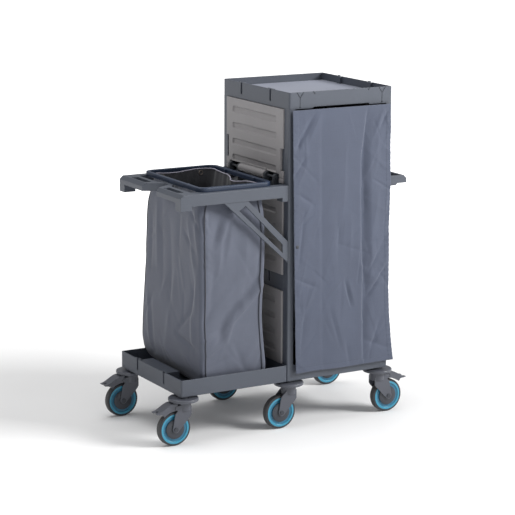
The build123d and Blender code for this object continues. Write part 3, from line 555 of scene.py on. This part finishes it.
CURTAIN_CREASES = [
    # x and z of the upper end and of the lower end, width on the left and on the right, lift
    (0.100, 1.160, 0.018, 1.020, 12, 10, -6.5), (0.128, 1.165, 0.070, 1.050, 12, 16, 4.0),
    (0.062, 1.000, 0.012, 0.930, 9, 8, -4.0), (0.070, 0.985, 0.030, 0.900, 8, 12, 2.6),
    (0.127, 1.170, 0.145, 0.230, 9, 34, -2.3), (0.322, 1.165, 0.303, 0.960, 5, 26, -9.0),
    (0.303, 1.010, 0.306, 0.800, 5, 26, -10.5), (0.306, 0.868, 0.313, 0.590, 6, 34, -12.0),
    (0.338, 1.030, 0.342, 0.790, 20, 30, 5.5), (0.343, 0.868, 0.350, 0.590, 20, 30, 5.5),
    (0.313, 0.610, 0.320, 0.480, 5, 22, -9.0), (0.318, 0.520, 0.318, 0.380, 6, 32, -11.0),
    (0.318, 0.410, 0.322, 0.230, 6, 20, -7.0), (0.425, 0.885, 0.322, 0.850, 14, 8, 5.0),
    (0.372, 0.845, 0.350, 0.690, 14, 12, 4.2), (0.410, 0.570, 0.340, 0.470, 10, 8, -5.5),
    (0.418, 0.600, 0.352, 0.500, 12, 12, 4.0), (0.352, 0.660, 0.346, 0.530, 12, 14, 3.6),
    (0.236, 0.530, 0.262, 0.440, 4, 10, -4.6), (0.252, 0.530, 0.280, 0.440, 8, 12, 2.4),
    (0.036, 0.870, 0.095, 0.832, 10, 8, -4.2), (0.092, 0.838, 0.046, 0.764, 16, 10, 3.6),
    (0.060, 0.800, 0.036, 0.600, 8, 10, -4.0), (0.028, 0.560, 0.112, 0.524, 8, 9, -4.0),
    (0.112, 0.540, 0.056, 0.420, 12, 12, 3.2), (0.070, 0.470, 0.050, 0.300, 8, 18, -3.6),
    (0.395, 1.170, 0.350, 1.060, 10, 14, 4.0), (0.418, 1.165, 0.372, 1.080, 9, 8, -5.0),
    (0.375, 1.120, 0.362, 0.940, 12, 16, 3.0), (0.200, 0.800, 0.205, 0.600, 10, 22, -2.4),
    (0.232, 1.020, 0.226, 0.800, 24, 10, 2.6), (0.175, 0.430, 0.218, 0.290, 8, 20, -3.0),
    (0.190, 0.440, 0.235, 0.280, 12, 14, 2.4), (0.390, 0.370, 0.346, 0.235, 9, 14, -4.0),
    (0.260, 0.760, 0.256, 0.600, 14, 10, 2.2), (0.245, 0.300, 0.262, 0.215, 8, 14, -2.6),
]
print("curtain creases:", len(CURTAIN_CREASES))

# %% [markdown]
# The edges are not straight, so each is a line through a few heights. The cloth's lift is the sum
# of its creases, the hems' second layer and the puckers, and it is kept clear of the posts. The
# cloth hangs from rings, so its folds are flatter near the top.


# %% Hang the curtain
def curtain_left(z):
    """The left edge, which leans in towards the hem."""
    return np.interp(z, [CURTAIN_HEM, 0.70, CURTAIN_TOP], [0.0285, 0.0160, 0.0065])


def curtain_right(z):
    """The right edge, which flares towards the hem."""
    heights = [CURTAIN_HEM, 0.30, 0.385, 0.59, 0.89, CURTAIN_TOP]
    return np.interp(z, heights, [0.4545, 0.4400, 0.4325, 0.4255, 0.4270, 0.4215])


def second_layer(inside, width):
    """The step where a hem's second layer ends."""
    return HEM_PROUD * (1 - smooth(width - 0.002, width, inside))


def hang_curtain(u, v):
    """Where a point of the flat curtain hangs."""
    z = CURTAIN_HEM + v * (CURTAIN_TOP - CURTAIN_HEM)
    right = curtain_right(z)
    left = curtain_left(z)
    x = left + u * (right - left)
    lift = creases(x, z, CURTAIN_CREASES)
    lift += small_creases(x, z, 11, 70, (0.04, 0.42), (0.23, 1.15), 0.5, 0.85)
    lift += small_creases(x, z, 12, 44, (0.01, 0.075), (0.25, 1.13), 0.9, 1.2)
    lift += small_creases(x, z, 13, 50, (0.33, 0.43), (0.25, 1.13), 0.9, 1.3)
    lift += 0.0012 * np.sin(u * 17.0 + 0.6) * smooth(0.0, 0.5, 1 - v)
    from_left = x - left
    from_right = right - x
    pucker = np.sin(z * 330 + 2 * np.sin(z * 47)) + 0.7 * np.sin(z * 171 + 1.0)
    lift += 0.0006 * np.exp(-(from_left / 0.02) ** 2) * pucker
    lift += 0.0008 * np.exp(-(from_right / 0.02) ** 2) * np.sin(z * 330 + 0.4)
    lift += second_layer(from_left, HEM_LEFT) + second_layer(from_right, HEM_RIGHT)
    lift += second_layer(z - CURTAIN_HEM, HEM_LOW)
    hung = smooth(0.0, 0.05, CURTAIN_TOP - z)
    lift = lift * (0.25 + 0.75 * hung)
    lift = CURTAIN_FULL * np.tanh((lift + CURTAIN_EASE) / CURTAIN_FULL)
    lift = np.maximum(lift, -POST_CLEAR + 0.0014 * np.tanh(lift / 0.004))
    near_hem = 1 - smooth(0.0, 0.03, z - CURTAIN_HEM)
    sag = 0.0022 * (np.sin(u * 9.0) * 0.5 + 0.5) * near_hem
    waver = 0.0012 * np.sin(z * 23 + 0.5)
    x = x + waver * smooth(0.6, 1.0, u) * (1 - smooth(0.9, 1.0, v))
    return np.stack([x, CURTAIN_FACE - lift - POST_CLEAR, z + sag], axis=1)


CURTAIN_BLUE = (0.065, 0.077, 0.114)
curtain_seams = [
    ("across", HEM_LEFT), ("across", CURTAIN_FLAT[0] - HEM_RIGHT), ("along", HEM_LOW)]
curtain_finish = woven("curtain_cloth", CURTAIN_BLUE, curtain_seams)
curtain = cloth_grid(
    "curtain_panel", CURTAIN_COLUMNS, CURTAIN_ROWS, CURTAIN_FLAT, hang_curtain)
curtain_area = sum(face.area for face in curtain.data.polygons)
finish_cloth(curtain, CURTAIN_THICKNESS, curtain_finish)
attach(curtain, "root")
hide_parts("front_curtain")
print("curtain area", round(curtain_area, 4), "cut to", CURTAIN_FLAT)

# %% [markdown]
# A small dark tab, by which the curtain is held to its post, is sewn on near its left edge. It is
# a thin block, cut into squares and bent, with its corners rounded.

# %% Sew on the tab
TAB_X, TAB_Z = 0.0300, 0.6800
TAB_SIZE = (0.010, 0.0025, 0.016)
TAB_OUT = 0.0100            # before the curtain's back
tab_place = (TAB_X, CURTAIN_FACE - TAB_OUT, TAB_Z)
bpy.ops.mesh.primitive_cube_add(size=1, location=tab_place)
tab = bpy.context.object
tab.name = "curtain_tab"
bpy.ops.transform.resize(value=TAB_SIZE)
bpy.ops.object.transform_apply()
bpy.ops.object.mode_set(mode="EDIT")
bpy.ops.mesh.subdivide(number_cuts=4)
bpy.ops.object.mode_set(mode="OBJECT")
for corner in tab.data.vertices:
    across, down = corner.co.x - TAB_X, corner.co.z - TAB_Z
    corner.co.y += 40 * down * down + 15 * across * across
rounding = tab.modifiers.new("rounding", "BEVEL")
rounding.width = 0.0007
rounding.segments = 3
apply_all(tab)
bpy.ops.object.shade_smooth()
tab.data.materials.clear()
tab.data.materials.append(finishes["bracket_dark"])
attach(tab, "root")
print("tab faces:", len(tab.data.polygons))

# %% [markdown]
# ## The laundry bag
# The bag is a sewn box of cloth that hangs inside the hoop. It has a round-edged floor, walls that
# bulge towards the bottom, a sagging mouth on the cabinet's side, and creases pulled slantwise
# across the front. It is lofted from plans at several heights: one grid is rolled into a tube,
# whose lowest rows close over the floor, and each wall then gets its own creases.

# %% Lay out the bag's plans
LEVELS = np.array([
    # z, front left x, back left x, right x, half depth, corner radius
    (0.1915, -0.288, -0.270, -0.110, 0.170, 0.030), (0.1950, -0.316, -0.292, -0.092, 0.196, 0.026),
    (0.2020, -0.333, -0.310, -0.082, 0.207, 0.020), (0.2180, -0.340, -0.332, -0.074, 0.213, 0.014),
    (0.2430, -0.342, -0.350, -0.071, 0.2155, 0.012), (0.2980, -0.343, -0.360, -0.077, 0.217, 0.012),
    (0.3600, -0.344, -0.358, -0.084, 0.217, 0.012), (0.4320, -0.345, -0.354, -0.089, 0.217, 0.012),
    (0.4910, -0.345, -0.350, -0.088, 0.217, 0.012), (0.5900, -0.345, -0.344, -0.081, 0.2165, 0.012),
    (0.6740, -0.346, -0.341, -0.078, 0.216, 0.012), (0.7600, -0.347, -0.339, -0.079, 0.2145, 0.013),
    (0.8200, -0.346, -0.337, -0.080, 0.209, 0.015), (0.8450, -0.341, -0.335, -0.079, 0.200, 0.018),
    (0.8700, -0.333, -0.332, -0.077, 0.197, 0.022), (0.9180, -0.329, -0.329, -0.073, 0.1965, 0.028),
])
FLOOR_SHARE = 0.15
MOUTH = 0.912
PERIMETER = 1.38
BAG_ROWS, BAG_COLUMNS = 136, 244
CORNER_SHARE, NARROW_SHARE, WIDE_SHARE = 0.018, 0.245, 0.409
PARTS = np.cumsum([0] + [NARROW_SHARE, CORNER_SHARE, WIDE_SHARE, CORNER_SHARE] * 2)
PARTS = PARTS / PARTS[-1]
print("plans:", len(LEVELS), "mouth at", MOUTH)

# %% [markdown]
# A plan goes round as four walls and four corner arcs, from the front left corner. Each point
# also knows which way its wall faces, so that a crease can lift it outwards.


# %% Roll the grid into the bag's plans
def level(z, column):
    """One of the plan's measures at height z, with its corners rounded off."""
    fine = np.linspace(LEVELS[0, 0], LEVELS[-1, 0], 241)
    values = np.interp(fine, LEVELS[:, 0], LEVELS[:, column])
    reach = 5
    padded = np.pad(values, reach, mode="edge")
    soft = np.convolve(padded, np.ones(2 * reach + 1) / (2 * reach + 1), mode="valid")
    keep = smooth(0.215, 0.25, fine)
    return np.interp(z, fine, values * (1 - keep) + soft * keep)


def round_plan(u, x_front, x_back, x1, half, r):
    """Points and outward directions round the bag's plan, from the front left corner."""
    u = np.mod(u, 1)
    x = np.zeros_like(u)
    y = np.zeros_like(u)
    nx = np.zeros_like(u)
    ny = np.zeros_like(u)
    for k in range(8):
        inside = (u >= PARTS[k]) & (u < PARTS[k + 1])
        t = ((u - PARTS[k]) / (PARTS[k + 1] - PARTS[k]))[inside]
        measures = (x_front, x_back, x1, half, r)
        xf, xb, xr, h, c = (value[inside] for value in measures)
        if k in (1, 3, 5, 7):
            turn = {1: -0.5, 3: 0.0, 5: 0.5, 7: 1.0}[k] * math.pi + t * math.pi / 2
            centre_x = {1: xr - c, 3: xr - c, 5: xb + c, 7: xf + c}[k]
            centre_y = {1: -h + c, 3: h - c, 5: h - c, 7: -h + c}[k]
            nx[inside], ny[inside] = np.cos(turn), np.sin(turn)
            x[inside], y[inside] = centre_x + c * np.cos(turn), centre_y + c * np.sin(turn)
        elif k == 0:
            x[inside], y[inside], ny[inside] = xf + c + t * (xr - xf - 2 * c), -h, -1
        elif k == 2:
            x[inside], y[inside], nx[inside] = xr, -h + c + t * 2 * (h - c), 1
        elif k == 4:
            x[inside], y[inside], ny[inside] = xr - c - t * (xr - xb - 2 * c), h, 1
        else:
            x[inside], nx[inside] = xb + t * (xf - xb), -1
            y[inside] = h - c - t * 2 * (h - c)
    return x, y, nx, ny


# %% [markdown]
# Each wall's creases are listed as lines on that wall: x and z on the front and back, y and z on
# the left and right. A long slanted fold crosses the front, from the cabinet's side down to the
# outer corner, with a hollow above it.

# %% List the bag's creases
FRONT_CREASES = [
    (-0.074, 0.560, -0.142, 0.490, 34, 7, 8.0), (-0.138, 0.496, -0.218, 0.420, 36, 8, 10.0),
    (-0.212, 0.430, -0.243, 0.352, 34, 8, 9.0), (-0.240, 0.358, -0.330, 0.302, 22, 8, 6.5),
    (-0.096, 0.584, -0.166, 0.514, 22, 20, -13.0), (-0.162, 0.520, -0.242, 0.444, 24, 20, -13.0),
    (-0.185, 0.840, -0.236, 0.785, 24, 7, 6.0), (-0.234, 0.790, -0.262, 0.715, 24, 7, 7.0),
    (-0.260, 0.722, -0.270, 0.620, 24, 8, 5.0),
    (-0.242, 0.442, -0.273, 0.364, 22, 20, -11.0), (-0.262, 0.800, -0.290, 0.720, 20, 18, -9.0),
    (-0.205, 0.840, -0.240, 0.650, 12, 22, 4.5),
    (-0.315, 0.840, -0.318, 0.480, 20, 12, 3.6), (-0.347, 0.362, -0.280, 0.386, 12, 9, 5.0),
    (-0.335, 0.410, -0.296, 0.490, 12, 16, -3.5), (-0.305, 0.340, -0.250, 0.400, 10, 12, 3.6),
    (-0.150, 0.810, -0.165, 0.590, 26, 16, 4.0), (-0.115, 0.335, -0.185, 0.262, 20, 16, 4.5),
    (-0.082, 0.440, -0.102, 0.320, 8, 12, -5.5), (-0.305, 0.265, -0.225, 0.300, 14, 16, -4.0),
    (-0.335, 0.838, -0.330, 0.760, 5, 7, -4.0), (-0.322, 0.838, -0.322, 0.780, 6, 6, 3.0),
    (-0.305, 0.838, -0.312, 0.780, 5, 7, -3.6), (-0.094, 0.740, -0.114, 0.570, 8, 16, -4.4),
    (-0.195, 0.570, -0.270, 0.495, 12, 16, 3.0), (-0.285, 0.640, -0.304, 0.500, 10, 20, -3.4),
    (-0.205, 0.330, -0.160, 0.240, 10, 18, -3.4), (-0.088, 0.300, -0.120, 0.225, 9, 14, -3.6),
]
LEFT_CREASES = [
    (-0.050, 0.366, -0.180, 0.332, 9, 14, -8.0), (-0.064, 0.385, -0.150, 0.460, 12, 10, -6.0),
    (-0.160, 0.450, -0.165, 0.350, 20, 14, 7.5), (-0.195, 0.620, -0.178, 0.460, 12, 18, 5.0),
    (-0.172, 0.570, -0.148, 0.450, 8, 14, -5.0), (-0.130, 0.838, -0.206, 0.770, 9, 9, -6.0),
    (-0.175, 0.838, -0.200, 0.690, 9, 14, 5.5), (-0.095, 0.744, -0.170, 0.686, 12, 8, -5.0),
    (-0.125, 0.790, -0.178, 0.600, 18, 12, 5.0), (0.124, 0.838, 0.116, 0.580, 14, 18, 4.0),
    (0.090, 0.830, 0.070, 0.500, 20, 14, -2.6), (0.182, 0.470, 0.148, 0.280, 9, 12, 4.0),
    (0.152, 0.440, 0.120, 0.280, 12, 14, -3.6), (-0.021, 0.580, 0.022, 0.310, 26, 16, 3.4),
    (0.020, 0.760, 0.000, 0.460, 20, 26, -3.6), (0.055, 0.300, -0.065, 0.238, 18, 14, 5.0),
    (-0.095, 0.300, -0.175, 0.246, 12, 16, 4.0), (0.110, 0.262, 0.175, 0.228, 10, 12, -4.0),
    (-0.060, 0.800, -0.050, 0.620, 16, 18, -3.4), (0.165, 0.760, 0.170, 0.560, 12, 16, -3.0),
]
BACK_CREASES = [
    (-0.330, 0.600, -0.230, 0.480, 18, 12, -7.0), (-0.230, 0.480, -0.130, 0.420, 18, 12, -6.5),
    (-0.100, 0.800, -0.160, 0.620, 15, 18, 4.6), (-0.280, 0.820, -0.300, 0.600, 18, 12, 4.5),
    (-0.120, 0.360, -0.220, 0.280, 18, 16, 4.6), (-0.200, 0.760, -0.190, 0.560, 12, 18, -4.5),
]
RIGHT_CREASES = [
    (-0.150, 0.780, -0.050, 0.560, 18, 12, -6.0), (0.120, 0.800, 0.060, 0.560, 16, 16, 4.5),
    (-0.100, 0.480, 0.060, 0.360, 20, 14, -7.0), (0.150, 0.420, 0.060, 0.300, 16, 14, 4.6),
]
WALL_CREASES = [FRONT_CREASES, LEFT_CREASES, BACK_CREASES, RIGHT_CREASES]
print("bag creases:", sum(len(rows) for rows in WALL_CREASES))

# %% [markdown]
# Near the mouth the walls are drawn in and pleated where the eyelets pull them up, and the wall on
# the cabinet's side hangs slack. The lowest rows of the grid shrink to a point under the floor.


# %% Shape the bag
SMALL_COUNT = 46
RIPPLE_X, RIPPLE_HEIGHT = -0.322, 0.0011
FULL_OUT, FULL_IN = 0.0105, 0.016
SLACK_X, SLACK_Z = 0.030, 0.016
SLACK_MIDDLE, SLACK_HALF = -0.020, 0.055


def wall_lift(x, y, z, nx, ny):
    """How far each point stands out of its wall."""
    walls = [
        (np.clip(-ny, 0, 1), x, FRONT_CREASES, 21, (-0.33, -0.09)),
        (np.clip(-nx, 0, 1), y, LEFT_CREASES, 22, (-0.19, 0.19)),
        (np.clip(ny, 0, 1), x, BACK_CREASES, 23, (-0.33, -0.09)),
        (np.clip(nx, 0, 1), y, RIGHT_CREASES, 24, (-0.19, 0.19)),
    ]
    total = np.zeros_like(x)
    for weight, a, listed, seed, span in walls:
        small = small_creases(a, z, seed, SMALL_COUNT, span, (0.22, 0.86), 0.7, 1.1)
        total += weight ** 2 * (creases(a, z, listed) + small)
    seam_side = np.exp(-((x - RIPPLE_X) / 0.024) ** 2)
    seam_side = seam_side * smooth(0.56, 0.62, z) * (1 - smooth(0.80, 0.84, z))
    ripple = np.sin(z * 260 + x * 190 + 2.4 * np.sin(z * 61))
    return total + np.clip(-ny, 0, 1) * seam_side * ripple * RIPPLE_HEIGHT


def hang_bag(u, v):
    """Where a point of the bag's cloth hangs. The lowest rows close over the floor."""
    rise = np.clip((v - FLOOR_SHARE) / (1 - FLOOR_SHARE), 0, 1)
    z = LEVELS[0, 0] + rise * (MOUTH - LEVELS[0, 0])
    x, y, nx, ny = round_plan(u, *[level(z, column) for column in range(1, 6)])
    free = smooth(0.20, 0.26, z) * (1 - smooth(0.80, 0.862, z))
    lift = wall_lift(x, y, z, nx, ny) * free
    most = np.where(lift > 0, FULL_OUT, FULL_IN)
    lift = most * np.tanh(lift / most)
    bulge = 0.008 * np.exp(-((z - 0.33) / 0.15) ** 2) * (1 - (y / 0.21) ** 2)
    left = np.clip(-nx, 0, 1) * bulge
    near_mouth = smooth(0.79, 0.90, z)
    pleat = np.sin(u * math.tau * 23) * 0.5 + np.sin(u * math.tau * 37 + 1.7) * 0.35
    outer = np.clip(np.clip(-ny, 0, 1) + np.clip(-nx, 0, 1), 0, 1)
    inner = near_mouth * 0.0022 * (pleat * (1 - 0.6 * outer) - 0.85)
    out = lift + left + inner
    x, y = x + nx * out, y + ny * out
    slack = np.clip(nx, 0, 1) * np.exp(-((y - SLACK_MIDDLE) / SLACK_HALF) ** 2)
    x = x - slack * SLACK_X * smooth(0.84, 0.91, z)
    z = z - slack * SLACK_Z * smooth(0.80, 0.91, z)
    z = z - near_mouth * 0.0035 * (1 + np.sin(u * math.tau * 5 + 0.8))
    shrink = np.clip(v / FLOOR_SHARE, 0, 1)
    middle = (LEVELS[0, 1] + LEVELS[0, 3]) / 2
    return np.stack([middle + (x - middle) * shrink, y * shrink, z], axis=1)


# %% [markdown]
# The outer face is the blue grey of the cloth. The inner face is the same cloth in a darker grey,
# painted shade inside the bag. Both show the line of stitches under the mouth.

# %% Make the bag
BAG_HEIGHT = 0.86
BAG_BLUE = (0.088, 0.098, 0.131)
# The inner face: the same cloth in a darker grey, painted shade inside the bag.
INSIDE_SHADE_GREY = (0.078, 0.080, 0.090)
BAG_THICKNESS = 0.0012
mouth_seam = [("along", BAG_HEIGHT * 0.968)]
bag_finish = woven("bag_cloth", BAG_BLUE, mouth_seam)
inside_shade_finish = woven("bag_inside_painted_shade", INSIDE_SHADE_GREY, mouth_seam)
bag = cloth_grid("bag_shell", BAG_COLUMNS, BAG_ROWS, (PERIMETER, BAG_HEIGHT), hang_bag)
bpy.ops.object.mode_set(mode="EDIT")
bpy.ops.mesh.select_all(action="SELECT")
bpy.ops.mesh.remove_doubles(threshold=0.00005)
bpy.ops.object.mode_set(mode="OBJECT")
finish_cloth(bag, BAG_THICKNESS, bag_finish, inside_shade_finish)
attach(bag, "root")
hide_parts("laundry_bag")
print("bag faces:", len(bag.data.polygons))

# %% [markdown]
# ## Piping, mouth tape and eyelets
# A dark cord is sewn into each upright seam, a pale tape binds the mouth, and metal eyelets hang
# the bag on its hoop. Piping and tape follow the bag's own surface, so they are read from the same
# function that shaped it.

# %% Sew on the piping and the tape
seam = Finish("seam_cord", {"Sheen Weight": 0.15})
seam_place = seam.node("TexCoord", output="Object")
twist = seam.noise(seam_place, 900, 2)
seam.set({
    "Base Color": seam.blend(twist, (0.012, 0.013, 0.020, 1), (0.032, 0.035, 0.047, 1)),
    "Roughness": 0.6 + twist * 0.2,
    "Normal": seam.bump(0.5, 0.0004, twist),
})
tape = Finish("mouth_tape", {"Sheen Weight": 0.2})
tape_place = tape.node("TexCoord", output="Object")
ribs = tape.noise(tape_place, 700, 2)
soil = tape.noise(tape_place, 25, 3)
tape.set({
    "Base Color": tape.blend(
        ribs * 0.5 + soil * 0.5, (0.24, 0.23, 0.29, 1), (0.44, 0.43, 0.52, 1)),
    "Roughness": 0.65 + ribs * 0.15,
    "Normal": tape.bump(0.5, 0.0004, ribs),
})


def on_bag(u, v, out=0.0):
    """Points on the bag's cloth, moved outwards by out."""
    u, v = np.broadcast_arrays(np.atleast_1d(u).astype(float), np.atleast_1d(v).astype(float))
    spots = hang_bag(u, v)
    step = hang_bag(u + 0.002, v) - hang_bag(u - 0.002, v)
    outward = np.stack([step[:, 1], -step[:, 0], np.zeros(len(u))], axis=1)
    outward /= np.linalg.norm(outward, axis=1)[:, None]
    return spots + outward * out


SEAM_POINTS, MOUTH_POINTS = 60, 120
PIPING_RADIUS, TAPE_RADIUS, TAPE_IN = 0.0017, 0.0021, 0.0006
SEAMS = {
    "front_left": 0.0045, "front_right": PARTS[1] - 0.005,
    "back_right": (PARTS[3] + PARTS[4]) / 2, "back_left": (PARTS[5] + PARTS[6]) / 2}
seam_heights = np.linspace(FLOOR_SHARE + 0.012, 0.985, SEAM_POINTS)
for place, around in SEAMS.items():
    points = on_bag(np.full(SEAM_POINTS, around), seam_heights, PIPING_RADIUS)
    cord = cord_piece("bag_piping_" + place, points, PIPING_RADIUS, seam.material)
    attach(cord, "root")
around = np.linspace(0, 1, MOUTH_POINTS + 1)[:-1]
mouth = on_bag(around, np.ones(MOUTH_POINTS), -TAPE_IN)
binding = cord_piece("bag_mouth_tape", mouth, TAPE_RADIUS, tape.material, closed=True)
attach(binding, "root")
print("seams:", sorted(SEAMS))

# %% [markdown]
# An eyelet is a rolled metal ring. It starts as a disc whose middle is inset and taken out, and it
# gets a wall and rolled edges before it is turned to face its way.

# %% Set the eyelets
EYELET_RADIUS = 0.0095
EYELET_WALL, EYELET_ROLL = 0.0034, 0.0012
eyelet_metal = Finish("eyelet_metal", {"Metallic": 1.0})
eyelet_place = eyelet_metal.node("TexCoord", output="Object")
tarnish = eyelet_metal.noise(eyelet_place, 220, 3)
eyelet_metal.set({
    "Base Color": eyelet_metal.blend(tarnish, (0.20, 0.165, 0.14, 1), (0.50, 0.44, 0.40, 1)),
    "Roughness": 0.28 + tarnish * 0.25,
})


def eyelet(name, spot, outward):
    """A ring round a hole, facing outward."""
    bpy.ops.mesh.primitive_circle_add(vertices=28, radius=EYELET_RADIUS, fill_type="NGON")
    ring = bpy.context.object
    ring.name = name
    bpy.ops.object.mode_set(mode="EDIT")
    bpy.ops.mesh.select_all(action="SELECT")
    bpy.ops.mesh.inset(thickness=EYELET_RADIUS * 0.42)
    bpy.ops.mesh.delete(type="FACE")
    bpy.ops.object.mode_set(mode="OBJECT")
    wall = ring.modifiers.new("wall", "SOLIDIFY")
    wall.thickness = EYELET_WALL
    wall.offset = 0
    roll = ring.modifiers.new("roll", "BEVEL")
    roll.width = EYELET_ROLL
    roll.segments = 3
    apply_all(ring)
    bpy.ops.object.shade_smooth()
    turn = Vector(outward).to_track_quat("Z", "Y").to_matrix().to_4x4()
    ring.data.transform(Matrix.Translation(Vector(spot)) @ turn)
    ring.data.materials.append(eyelet_metal.material)
    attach(ring, "root")


EYELET_RISE = 0.982
EYELETS = {"back_right": 0.519, "back_left": 0.655, "front_right": 0.13, "front_left": 0.045}
for place, around in EYELETS.items():
    spot = on_bag(around, EYELET_RISE)[0]
    side = 1 if spot[1] > 0 else -1
    eyelet("bag_eyelet_" + place, spot - np.array((0, side * 0.001, 0)), (0, side, 0))
print("eyelets:", len(EYELETS))

# %% [markdown]
# ## Room and light
# A white floor, a broad soft light from the right of the camera, a weak one from above and an even
# pale sky. The front faces then read about twice as bright as the left ones. The floor glows
# faintly near the cart, which lightens the cart's shadow as painted light, and more and more away
# from the cart, so that it ends white while the cart's shadow stays.

# %% Lay the floor
FLOOR_SIZE = 40
LIT_FROM, LIT_REACH = 0.8, 1.8
bpy.ops.mesh.primitive_plane_add(size=FLOOR_SIZE)
floor = bpy.context.object
floor.name = "studio_floor"
dull = {"Roughness": 0.9, "Specular IOR Level": 0.1, "Emission Strength": 1.0}
paper = Finish("studio_paper", dull)
paper_place = paper.node("TexCoord", output="Object")
out_from = paper.node("VectorMath", {"operation": "LENGTH"}, {0: paper_place}, "Value")
far_off = paper.clamp((out_from - LIT_FROM) / LIT_REACH)
cloudy = paper.noise(paper_place, 3, 2)
paper.set({
    "Base Color": paper.blend(cloudy, (0.80, 0.80, 0.80, 1), (0.84, 0.84, 0.84, 1)),
    # The floor's glow: faint near the cart, lightening the cart's shadow as painted light, and
    # white further out.
    "Emission Color": paper.blend(far_off * far_off, (0.045, 0.045, 0.046, 1), (1, 1, 1, 1)),
})
floor.data.materials.append(paper.material)
print("floor", FLOOR_SIZE, "m wide")

# %% [markdown]
# The sky lights everything evenly. Seen straight through the camera it is plain white, whatever
# its strength as a light, so it passes into the far floor without a line.

# %% Light the room
SKY_STRENGTH = 0.37
world = bpy.data.worlds.new("studio_sky")
bpy.context.scene.world = world
world.use_nodes = True
sky = world.node_tree
sky.nodes["Background"].inputs["Color"].default_value = (1, 1, 1, 1)
sky.nodes["Background"].inputs["Strength"].default_value = SKY_STRENGTH
seen = sky.nodes.new("ShaderNodeBackground")
seen.inputs["Color"].default_value = (1, 1, 1, 1)
seen.inputs["Strength"].default_value = 1.0
pick = sky.nodes.new("ShaderNodeMixShader")
path = sky.nodes.new("ShaderNodeLightPath")
sky.links.new(path.outputs["Is Camera Ray"], pick.inputs[0])
sky.links.new(sky.nodes["Background"].outputs[0], pick.inputs[1])
sky.links.new(seen.outputs[0], pick.inputs[2])
sky.links.new(pick.outputs[0], sky.nodes["World Output"].inputs["Surface"])


def soft_light(name, spot, target, size, power):
    """A square area light that looks at target."""
    bpy.ops.object.light_add(type="AREA", location=spot)
    lamp = bpy.context.object
    lamp.name = name
    lamp.rotation_mode = "QUATERNION"
    lamp.rotation_quaternion = (Vector(spot) - Vector(target)).to_track_quat("Z", "Y")
    lamp.data.size = size
    lamp.data.energy = power


soft_light("key_light", (4.6, -4.2, 4.2), (0, 0, 0.6), 2.6, 560)
soft_light("top_light", (-0.6, 0.4, 4.5), (0, 0, 0.5), 3.2, 110)
